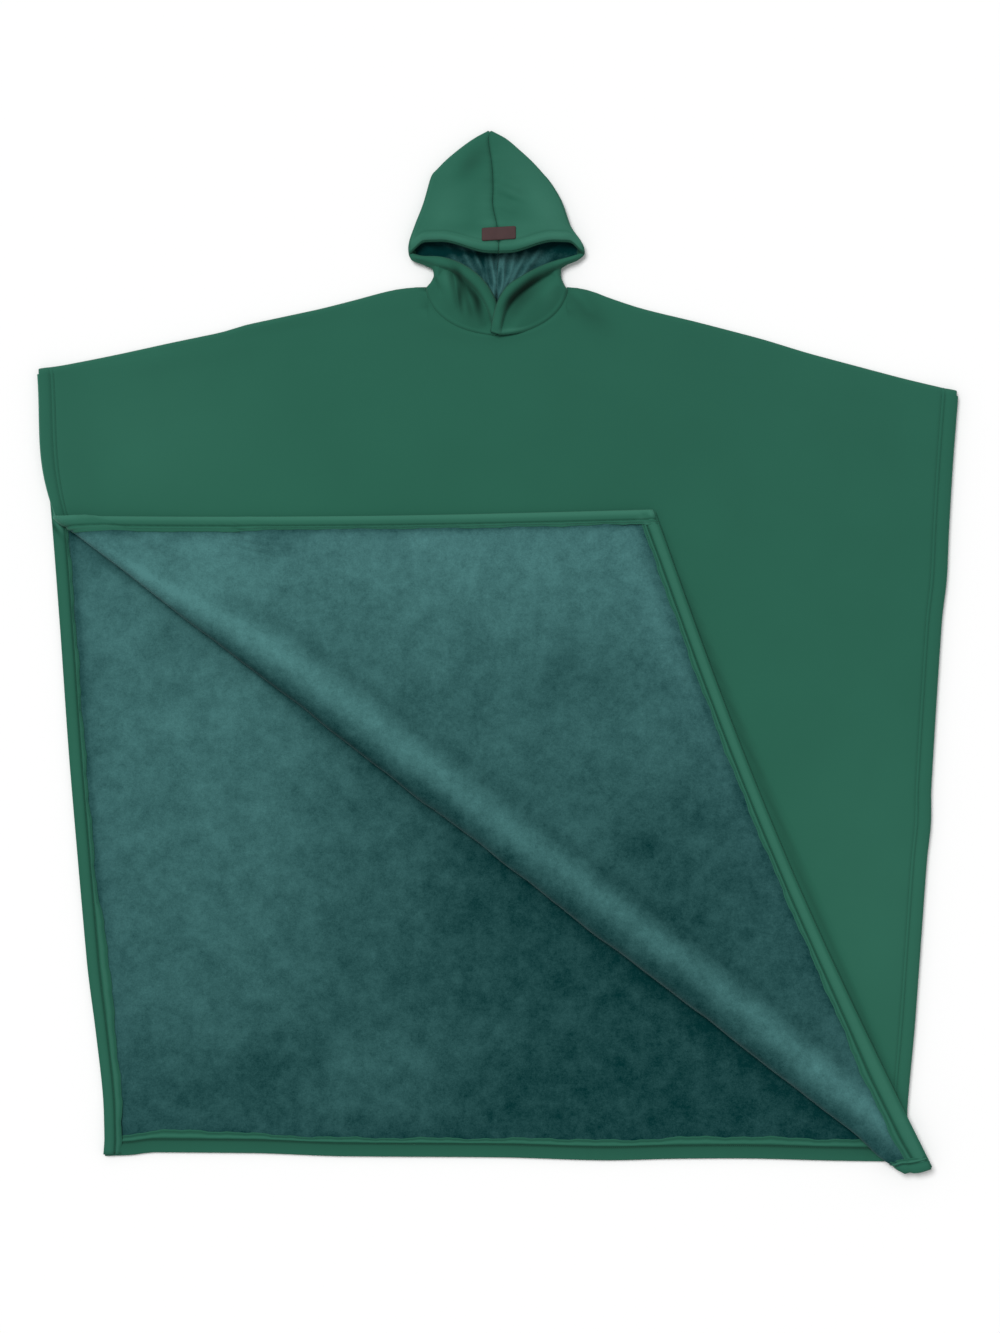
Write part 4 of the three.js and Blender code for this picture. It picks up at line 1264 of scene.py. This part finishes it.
RIM = {
    "left": table(
        "x y z",
        (-0.120, 0.641, 0.0160), (-0.098, 0.640, 0.0185), (-0.075, 0.635, 0.0200),
        (-0.054, 0.626, 0.0205), (-0.036, 0.614, 0.0200), (-0.019, 0.597, 0.0175),
        (-0.0055, 0.575, 0.0140), (0.004, 0.549, 0.0110), (0.012, 0.519, 0.0098),
    ),
    "right": table(
        "x y z",
        (0.119, 0.640, 0.0165), (0.098, 0.634, 0.0190), (0.076, 0.626, 0.0205),
        (0.057, 0.617, 0.0215), (0.038, 0.606, 0.0220), (0.020, 0.594, 0.0220),
        (0.0065, 0.576, 0.0210), (-0.003, 0.551, 0.0190), (-0.009, 0.519, 0.0172),
    ),
}
print("the hood is drawn from", len(HOOD["y"]), "sections")
NECK_SEAM = table(
    "angle left right",
    (22, FRONT_Z, FRONT_Z), (44, FRONT_Z, FRONT_Z), (62, FRONT_Z, FRONT_Z + 0.0010),
    (76, FRONT_Z, 0.0136), (88, 0.0096, 0.0166),
)


def section(side, y):
    """The outline, seam, side fold and crown of the hood at each height up it."""
    keys = (side, "seam", "fold", "crown")
    edge, seam, fold, crown = (through(HOOD["y"], HOOD[key], y) for key in keys)
    sign = SIGN[side]
    return sign, seam + sign * GAP / 2, edge - sign * SHELL_TOP - sign * fold, fold, crown


def lip_arch(w):
    """How far the upper lip rises at a place from the seam, 0, to the top of the side fold, 1,
    and on round the ear."""
    return LIP_RISE * smooth(w, 0.1, 0.7) * (1 - smooth(w, 0.88, 1 + EAR_SHARE))


# %% Crown, nape and throat
CROWN_T = np.r_[np.linspace(0, 0.08, 6)[:-1], np.linspace(0.08, 1, 30)]
ARC = np.arange(90, -91, -15)
CROWN_COLUMNS = len(CROWN_T) - 1
NAPE_FROM = CROWN_COLUMNS + len(ARC)
NAPE_T = np.linspace(1, 0, 40)
CLOSE_FROM = 0.690
crown_y = np.r_[np.linspace(HOOD_TOP, CLOSE_FROM, 46)[:-1], np.linspace(CLOSE_FROM, LIP_Y, 30)]


def round_ear(angles):
    """Places round the ear for `lip_arch`, from 1 at the top of the side fold."""
    return 1 + EAR_SHARE * (90 - angles) / 90


def wrap(side, y, angles, with_crown):
    """The hood's section: crown z = back + 2 fold + crown * (1 - t^2), an arc, then the nape."""
    y = y[:, None]
    sign, seam, centre, fold, crown = section(side, y)
    a = np.radians(angles)[None, :]
    pull = smooth(-y, -0.729, -LIP_Y) * with_crown
    arc_y = y + pull * lip_arch(round_ear(angles[None, :]))
    arc = xyz(centre + sign * fold * np.cos(a), arc_y, BACK_Z + fold * (1 + np.sin(a)))
    nape_t = NAPE_T[None, 1:]
    nape = xyz(lerp(seam, centre, nape_t), y, BACK_Z)
    if not with_crown:
        return np.concatenate([arc, nape], axis=1)
    t = CROWN_T[None, :-1]
    top_z = BACK_Z + 2 * fold + crown * (1 - t * t)
    top = xyz(lerp(seam, centre, t), y + pull * lip_arch(t), top_z)
    return np.concatenate([top, arc, nape], axis=1)


SIDE_STEPS, NECK_STEPS = 34, 44
SIDE_KNOTS = np.array([LIP_Y, 0.638, 0.628, 0.612, NECK_SIDE_Y])
KNOTS, CORNER = np.arange(10), 4


def throat_lines(side):
    """The lower lip's rim, and the line that the throat runs to: the side fold, then the neck."""
    sign = SIGN[side]
    place = np.r_[np.linspace(0, CORNER, SIDE_STEPS), np.linspace(CORNER, 9, NECK_STEPS)[1:]]
    side_y = through(KNOTS[: CORNER + 1], SIDE_KNOTS, place[:SIDE_STEPS])
    _, _, centre, fold, _ = section(side, side_y)
    ends = xyz(centre + sign * fold, side_y, BACK_Z + fold)
    on_neck = KNOTS[CORNER:], place[SIDE_STEPS:]
    angle = np.radians(through(on_neck[0], np.r_[0, NECK_SEAM["angle"]], on_neck[1]))
    z = through(on_neck[0], np.r_[FRONT_Z, NECK_SEAM[side]], on_neck[1])
    x = sign * (NECK_HALF - GAP) * np.cos(angle)
    neck = xyz(x, NECK_Y - (NECK_FRONT - GAP) * np.sin(angle), z)
    knots = zip(ends[0], RIM[side].values())
    rim = xyz(*(through(KNOTS, np.r_[first, rest], place) for first, rest in knots))
    return rim, np.concatenate([ends, neck]), side_y, place


NEAR = np.linspace(0, 0.030, 16)
FAR = 1 - (1 - np.linspace(0, 1, 30)[1:]) ** 1.5
THROAT_CREASES = {
    "left": ridges(
        (-0.086, 0.626, -0.073, 0.556, 0.0085, 0.0030),
        (-0.0735, 0.628, -0.058, 0.545, 0.0062, -0.0050),
        (-0.063, 0.606, -0.049, 0.540, 0.0055, 0.0022),
        (-0.054, 0.606, -0.036, 0.540, 0.0072, -0.0048),
        (-0.101, 0.614, -0.090, 0.580, 0.0025, -0.0020),
    ),
    "right": ridges(
        (0.085, 0.616, 0.015, 0.560, 0.0120, -0.0035),
        (0.098, 0.612, 0.080, 0.560, 0.0120, 0.0015),
        (0.045, 0.575, 0.030, 0.535, 0.0120, -0.0014),
    ),
}


LIP_PUFF, GROOVE, WELT, WELT_GROOVE, TINY = 0.0048, 0.0075, 0.0010, 0.0012, 1e-6


def throat(side):
    """Ruled from the rim to the side fold and the neck seam, and bulged up between them. Behind
    the rim the cloth is puffed over its hem, and drops into a deep groove at the stitches."""
    rim, outer, side_y, place = throat_lines(side)
    length = length_of(outer - rim)[:, None]
    near = np.minimum(NEAR[-1], 0.6 * length) / np.maximum(length, TINY)
    first = near * NEAR[None, :] / NEAR[-1]
    t = np.concatenate([first, near + (1 - near) * FAR[None, :]], axis=1)
    p = rim[:, None] + (outer - rim)[:, None] * t[..., None]
    off, rest = t * length, (1 - t) * length
    to_side = np.clip(rest / np.clip(0.5 * length, TINY, 0.009), 0, 1)
    round_side = np.sqrt(1 - (1 - to_side) ** 2)
    beside = (1 - smooth(place, 3.6, 5.0))[:, None]
    rise = (rim[:, 2:] - outer[:, 2:]) * 0.65 * (round_side - (1 - t)) * beside
    bulge = lerp(0.085, 0.04, beside) * length * np.sin(np.pi * t)
    free = smooth(rest, 0.0, 0.018)
    long = smooth(length, 0.020, 0.050)
    puff = LIP_PUFF * dome(off, -0.001, 0.0185, 0.75)
    puff = puff * smooth(length, 0.004, 0.030) * smooth(rest, 0.0, 0.008)
    sink = -GROOVE * smooth(off, 0.0140, 0.0195) * (1 - smooth(off, 0.021, 0.052)) * long
    fold = creases(p[..., :2], THROAT_CREASES[side]) * smooth(off, 0.014, 0.024)
    seam = WELT * bell(rest, 0.0040, 0.0025) - WELT_GROOVE * bell(rest, 0, 0.0015)
    p[..., 2] += bulge + rise + puff + (sink + fold) * free + seam * (1 - beside)
    return p, side_y


def hood_sheets(side):
    """The three grids of one half: the crown with the nape behind it, the side fold and nape
    beside the throat, and the throat."""
    whole = wrap(side, crown_y, ARC, True)
    throat_grid, side_y = throat(side)
    lower_arc = ARC[ARC <= 0]
    nape = wrap(side, side_y, lower_arc, False)
    x = nape[..., 0]
    scoop = NECK_BACK * np.sqrt(np.clip(1 - (x / NECK_HALF) ** 2, 0, 1)) - GAP
    drop = smooth(-side_y, -0.640, -NECK_SIDE_Y)[:, None]
    nape[..., 1] -= np.where(np.arange(nape.shape[1]) >= len(lower_arc), scoop, 0) * drop
    return whole, nape, throat_grid


UPPER_PUFF, UPPER_GROOVE, FAR_ROUND = 0.0038, 0.0010, 2.0


def rim_relief(whole_shape):
    """Outside of the upper lip: the same puff and sunk stitches as on the lower one."""
    d = (crown_y[:, None] - LIP_Y) + np.zeros(whole_shape[1])
    w = np.full(whole_shape[1], FAR_ROUND)
    w[:NAPE_FROM] = np.r_[CROWN_T[:-1], round_ear(ARC)]
    roll = UPPER_PUFF * dome(d, -0.001, 0.0150, 0.8)
    return (roll - UPPER_GROOVE * bell(d, 0.0158, 0.0026)) * (1 - smooth(w, 0.80, 1.06))


# %% Centre seam and crown shape
CROWN_CREASES = ridges(
    (0.004, 0.765, 0.040, 0.745, 0.006, 0.0022),
    (0.002, 0.742, 0.032, 0.728, 0.005, -0.0018),
    (0.004, 0.722, 0.030, 0.712, 0.005, 0.0016),
    (-0.010, 0.760, -0.045, 0.800, 0.016, 0.0020),
    (-0.095, 0.700, -0.040, 0.690, 0.012, 0.0018),
    (0.060, 0.740, 0.090, 0.690, 0.014, 0.0016),
    (-0.085, 0.760, -0.060, 0.700, 0.016, -0.0016),
)


VALLEY, PULL, PULL_REACH, PULL_STEP = 0.0022, 0.0014, 0.012, 0.011


def crown_relief(whole, side):
    """The seam pulls the cloth down in a narrow valley, puckered by its thread."""
    _, seam, centre, _, _ = section(side, crown_y)
    t = np.ones(whole.shape[1])
    t[:CROWN_COLUMNS] = CROWN_T[:-1]
    off = t[None, :] * abs(centre - seam)[:, None]
    tip = smooth(-crown_y, -HOOD_TOP, -0.82)[:, None]
    pucker = np.sin(crown_y * 2 * np.pi / PULL_STEP + 2 * np.sin(crown_y * 160))[:, None]
    pull = PULL * np.exp(-off / PULL_REACH) * (1 + 0.5 * pucker)
    valley = -VALLEY * bell(off, 0, 0.0042) - pull
    cloth = creases(whole[..., :2], CROWN_CREASES) * smooth(off, 0, 0.006) * (t < 1)
    return (valley * (t < 1) + cloth) * tip


def half_hood(grids, side):
    """One half as a surface. Along the centre seam its normals lean neither left nor right, so
    both halves meet there."""
    surface = Surface(grids, flip=side == "left")
    seam = np.r_[surface.index[0][:, [0, -1]].ravel(), surface.index[1][:, -1]]
    surface.normals[seam, 0] = 0
    surface.normals = unit(surface.normals)
    return surface


hood_sheet = {}
for side in SIGN:
    whole, nape, throat_grid = hood_sheets(side)
    whole[..., 2] += crown_relief(whole, side)
    hood_sheet[side] = half_hood([whole, nape, throat_grid], side)
    print("hood", side, "reaches up to", (whole[..., 2].max() / MM).round(1), "mm")


# %% [markdown]
# Inside, the plush is gathered where the hood is sewn to the nape: narrow upright pleats that start
# at the neck and fade out up the back. Their backs get a painted highlight, so they are darker
# between.

# %% Hood cloths
GATHERS = table(
    "x width height",
    (-0.100, 0.0120, 0.0030), (-0.072, 0.0080, 0.0045), (-0.050, 0.0060, 0.0050),
    (-0.034, 0.0045, 0.0060), (-0.021, 0.0035, 0.0050), (-0.0095, 0.0045, 0.0075),
    (0.0030, 0.0030, 0.0050), (0.0130, 0.0050, 0.0085), (0.0280, 0.0050, 0.0060),
    (0.0430, 0.0060, 0.0055), (0.0620, 0.0080, 0.0055), (0.0900, 0.0110, 0.0035),
)
INSIDE_LIGHT_AND_SHADE = patches(
    (-0.0220, 0.625, 0.025, 0.0080, 84, -0.25),
    (-0.0350, 0.642, 0.012, 0.0080, 0, -0.12),
    (0.0000, 0.640, 0.014, 0.0050, 90, 0.34),
    (0.0210, 0.640, 0.010, 0.0055, 90, 0.34),
    (0.0680, 0.637, 0.018, 0.0070, 14, 0.30),
    (0.0080, 0.610, 0.030, 0.0030, 88, -0.12),
    (0.0450, 0.626, 0.012, 0.0060, 30, -0.10),
    (-0.1000, 0.654, 0.035, 0.0060, -8, -0.28),
    (-0.0400, 0.648, 0.035, 0.0045, -6, -0.36),
    (0.0100, 0.648, 0.030, 0.0040, 4, -0.34),
    (0.0600, 0.656, 0.040, 0.0045, 10, -0.38),
    (0.1150, 0.656, 0.022, 0.0070, 0, -0.20),
)


GATHERED_AT, GATHER_LENGTH = 0.560, 0.085


def gathers(p):
    """Pleats that fan out from the nape: height * bell across, fading as they rise."""
    rise = np.clip((p[..., 1] - GATHERED_AT) / GATHER_LENGTH, 0, 1.3)
    total = np.zeros(p.shape[:-1])
    for x, width, height in zip(*GATHERS.values()):
        middle = x * (0.22 + 0.78 * rise) + 0.0015 * np.sin(p[..., 1] * 90 + x * 300)
        total += height * bell(p[..., 0], middle, width * (0.45 + 0.55 * rise))
    return total * smooth(p[..., 1], 0.568, 0.585) * (1 - smooth(p[..., 1], 0.67, 0.78))


def inside_tone(grid, pleats):
    """Painted light on the backs of the pleats and painted shade towards the ears, where little
    light comes, with patches of painted shade under the upper lip and painted light where the
    lining is lit.
    """
    ear = smooth(abs(grid[..., 0]), 0.045, 0.095)
    light = (0.10 + 70 * np.clip(pleats - 0.001, 0, 1)) * (1 - 0.8 * ear)
    return light - 0.08 * ear + patched(grid[..., :2], INSIDE_LIGHT_AND_SHADE)


LINED_BELOW = 12  # rows at the hood's tip that have no room for plush
# Patches of painted light and shade on the crown: lighter towards the sides and near the lip,
# darker in a few places near the seam.
HOOD_SHADES = patches(
    (-0.085, 0.715, 0.060, 0.030, 75, 0.16),
    (-0.035, 0.800, 0.040, 0.016, 45, -0.18),
    (-0.020, 0.725, 0.030, 0.013, 90, 0.10),
    (-0.045, 0.790, 0.030, 0.014, 60, -0.12),
    (0.050, 0.760, 0.060, 0.030, -60, 0.14),
    (0.090, 0.700, 0.060, 0.030, -65, 0.26),
    (0.040, 0.688, 0.030, 0.012, 0, 0.16),
    (-0.010, 0.694, 0.018, 0.008, 0, 0.14),
    (0.025, 0.745, 0.018, 0.004, -25, 0.10),
    (0.024, 0.735, 0.018, 0.004, -20, -0.10),
)
# Painted shadow in the collar's creases under the rim, with a few painted highlights on their
# ridges.
COLLAR_SHADES = {
    "left": patches(
        (-0.063, 0.612, 0.018, 0.0060, -55, -0.52),
        (-0.060, 0.582, 0.028, 0.0055, -86, -0.66),
        (-0.043, 0.587, 0.020, 0.0065, -59, -0.62),
        (-0.031, 0.563, 0.022, 0.0065, -80, -0.58),
        (-0.040, 0.550, 0.020, 0.0100, -80, -0.22),
        (-0.082, 0.606, 0.014, 0.0060, -75, 0.16),
        (-0.008, 0.536, 0.018, 0.0040, -70, -0.22),
        (-0.100, 0.606, 0.010, 0.0030, -60, -0.20),
    ),
    "right": patches(
        (0.060, 0.604, 0.022, 0.0070, 35, -0.62),
        (0.038, 0.586, 0.022, 0.0080, 42, -0.55),
        (0.019, 0.568, 0.018, 0.0060, 55, -0.50),
        (0.045, 0.575, 0.030, 0.0150, 30, -0.30),
        (0.028, 0.552, 0.022, 0.0120, 50, -0.18),
        (0.092, 0.622, 0.018, 0.0040, 20, -0.40),
        (0.020, 0.522, 0.025, 0.0030, 8, 0.25),
        (0.085, 0.580, 0.020, 0.0150, 60, 0.08),
    ),
}
for side in SIGN:
    sheet = hood_sheet[side]
    grids = [sheet.points[index] for index in sheet.index]
    crown, _, collar = grids
    relief = sheet.spread([rim_relief(crown.shape), 0.0, 0.0])
    points, faces = sheet.layer(GAP / 2, SHELL_TOP + relief)
    # Painted light and shade on the hood's fleece: a painted highlight where the crown slopes away
    # from the top and on the lip's roll, painted shade in the centre seam's valley, and on the
    # collar the painted shadows of its creases.
    on_crown = np.arange(crown.shape[1]) < CROWN_COLUMNS + 3
    slope_highlight = 0.22 * (1 - sheet.normals[sheet.index[0]][..., 2]).clip(0, 1)
    lip_highlight = 0.26 * bell(crown[..., 1], LIP_Y + 0.018, 0.012)
    seam = 0.32 * bell(crown[..., 0] - section(side, crown_y)[1][:, None], 0, 0.0028)
    shade = patched(crown[..., :2], HOOD_SHADES) + slope_highlight + lip_highlight + 0.04 - seam
    shade = shade * (on_crown * smooth(-crown[..., 1], -0.85, -0.83))
    shade = sheet.spread([shade, 0.0, patched(collar[..., :2], COLLAR_SHADES[side])])
    piece(f"hood_{side}_shell_cloth", points, faces, "fleece", [f"hood_{side}_shell"], shade=shade)

    grids[0] = crown[LINED_BELOW:]
    lining = half_hood(grids, side)
    pleats = [gathers(g[..., :2]) for g in grids]
    pleats[0][:, :NAPE_FROM] = 0
    pleats[1][:, : (ARC <= 0).sum()] = 0
    pleats[2][:] = 0
    tones = [inside_tone(g, height) for g, height in zip(grids, pleats)]
    tones[0][:, :NAPE_FROM] = 0.12
    nap = np.clip(lining.spread(tones), -0.6, 0.75)
    points, faces = lining.layer(-LINING_TOP - lining.spread(pleats), -GAP / 2)
    piece(f"hood_{side}_lining_cloth", points, faces, "plush", [f"hood_{side}_lining"], nap=nap)


# %% [markdown]
# ## Rim of the mouth
# The same J-section, narrower, runs from the centre seam to the ear and on down the lower lip.

# %% Hood hems
HOOD_HEM = 0.016
UP_ROWS, LOW_ROWS = 12, 9  # the hem's width in rows of the crown and in places of the throat
EAR_ROWS = 4  # rows of the throat that the fan round the ear covers
FAN = np.radians(np.arange(20, 161, 20))


def ear_fan(side):
    """Stations that swing the hem round the ear, from up the crown to down the throat. A point at
    a distance d and an angle a lies d * cos(a) along the side fold and d * sin(a) round it."""
    sign = SIGN[side]
    d = np.r_[0.0015, np.linspace(0, HOOD_HEM, 11)[1:]][None, :]
    y = LIP_Y + d * np.cos(FAN)[:, None]
    _, _, centre, fold, _ = section(side, y)
    round_fold = -d * np.sin(FAN)[:, None] / fold
    outwards = xyz(sign * np.cos(round_fold), 0, np.sin(round_fold))
    p = xyz(centre, y, BACK_Z + fold) + outwards * fold[..., None]
    return p, outwards


for side in SIGN:
    sheet = hood_sheet[side]
    upper = np.arange(CROWN_COLUMNS + (ARC > 0).sum())
    crown_index, throat_index = sheet.index[0], sheet.index[2]
    up = crown_index[::-1][:UP_ROWS][:, upper].T
    low = throat_index[EAR_ROWS:, :LOW_ROWS]
    rim = {"puff": 0.0004, "phase": 5.0, "narrow": True}
    parts = [hem_mesh(sheet.points[k], sheet.normals[k], spacing=0.004, **rim) for k in (up, low)]
    parts.append(hem_mesh(*ear_fan(side), spacing=0, nose=0.0012, **rim))
    points, faces = joined(parts)
    # The hood's hems are painted darker all over: a painted shade, as they are seen only in the
    # shadow inside the mouth.
    piece(f"hood_hem_{side}_cloth", points, faces, "fleece", [f"hood_hem_{side}"], shade=-0.35)


# %% [markdown]
# ## Label
# A patch of leather, bare, sewn over the centre seam just above the lip. It follows the crown
# and bends with it, its corners are rounded and its edge is pressed thin.

# %% Leather label
LABEL_X, LABEL_Y, LABEL_W, LABEL_H, LABEL_T = 0.003, 0.6765, 0.055, 0.021, 0.0012
LABEL_TILT = 0.06


def crown_top(x, y):
    """The height of the crown's surface at a place on the hood."""
    out = np.inf
    for side in SIGN:
        _, seam, centre, fold, crown = section(side, y)
        t = np.clip((x - seam) / (centre - seam), 0, 1)
        out = np.minimum(out, BACK_Z + 2 * fold + crown * (1 - t * t))
    return out


def rounded_patch(columns, rows, corner):
    """A rectangle whose outline is rounded: each row is shortened near the ends by the corner's
    circle, x = (half width - corner) + sqrt(corner^2 - dy^2)."""
    v = np.linspace(-1, 1, rows)[:, None]
    y = v * LABEL_H / 2
    over = np.clip(abs(y) - (LABEL_H / 2 - corner), 0, corner)
    half = LABEL_W / 2 - corner + np.sqrt(corner**2 - over**2)
    return np.linspace(-1, 1, columns)[None, :] * half, y + np.zeros(columns)


x, y = rounded_patch(41, 19, 0.0022)
rim = np.minimum(LABEL_W / 2 - abs(x), LABEL_H / 2 - abs(y))
pressed = SHELL_TOP + GAP + LABEL_T * (0.45 + 0.55 * smooth(rim, 0, 0.0015))
x, y = x + LABEL_X, y + LABEL_Y + LABEL_TILT * x
patch = Surface([xyz(x, y, crown_top(x, y) - 0.0008 * bell(x, 0.002, 0.008))], flip=True)
points, faces = patch.layer(SHELL_TOP + GAP * 0.3, patch.spread([pressed]))
piece("hood_label_leather", points, faces, "label_leather", ["hood_label"])

# %% [markdown]


# %% [markdown]
# ## Floor, light and camera
# The cape is seen from straight above, as laid out for a catalogue: a white floor, one large soft
# light from the upper left, and a bright room all round that keeps the shadows open.

# %% Floor
FLOOR = 6.0
floor_points = xyz(*np.meshgrid([-FLOOR, FLOOR], [-FLOOR, FLOOR]), -0.0004).reshape(-1, 3)
floor_mesh = bpy.data.meshes.new("floor")
floor_mesh.from_pydata(floor_points.tolist(), [], [(0, 1, 3, 2)])
floor = bpy.data.objects.new("floor", floor_mesh)
bpy.context.scene.collection.objects.link(floor)
floor_tree = Tree("floor")
floor_shader = {"Base Color": (0.955, 0.955, 0.955, 1), "Roughness": 1.0, "Specular IOR Level": 0.0}
shader = floor_tree.add("ShaderNodeBsdfPrincipled", {}, floor_shader)
floor_tree.add("ShaderNodeOutputMaterial", {}, {"Surface": shader})
floor_mesh.materials.append(floor_tree.material)
floor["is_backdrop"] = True
print("floor:", 2 * FLOOR, "m wide")

# %% Light
def soft_light(name, place, spread, power):
    """A far, wide light that faces the cape's middle; `spread` is its size in degrees."""
    data = bpy.data.lights.new(name, "SUN")
    data.angle, data.energy = np.radians(spread), power
    lamp = bpy.data.objects.new(name, data)
    lamp.location = place
    lamp.rotation_mode = "QUATERNION"
    lamp.rotation_quaternion = lamp.location.normalized().to_track_quat("Z", "Y")
    bpy.context.scene.collection.objects.link(lamp)


soft_light("key", (-1.5, 1.9, 4.6), 28, 2.1)
world = bpy.data.worlds.new("room")
world.use_nodes = True
world.node_tree.nodes["Background"].inputs["Color"].default_value = (1, 1, 1, 1)
world.node_tree.nodes["Background"].inputs["Strength"].default_value = 0.46
bpy.context.scene.world = world
bpy.context.scene.view_settings.view_transform = "Standard"
print("light: one lamp and a white room")

# %% Camera
CAMERA_HEIGHT, SEEN_HEIGHT, SENSOR = 5.0, 2.173, 36.0
camera_data = bpy.data.cameras.new("camera")
camera_data.sensor_width = SENSOR
camera_data.lens = SENSOR * CAMERA_HEIGHT / SEEN_HEIGHT
camera = bpy.data.objects.new("camera", camera_data)
camera.location = (0.0049, -0.0245, CAMERA_HEIGHT)
bpy.context.scene.collection.objects.link(camera)
bpy.context.scene.camera = camera
print("camera: a lens of", round(camera_data.lens, 1), "mm")

# %% The boxes of the imported model and of the scene
boxes = {"cad": cad_box, "visual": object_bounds()}
boxes = {key: [list(corner) for corner in box] for key, box in boxes.items()}
print("boxes", {k: np.round(v, 4).tolist() for k, v in boxes.items()})
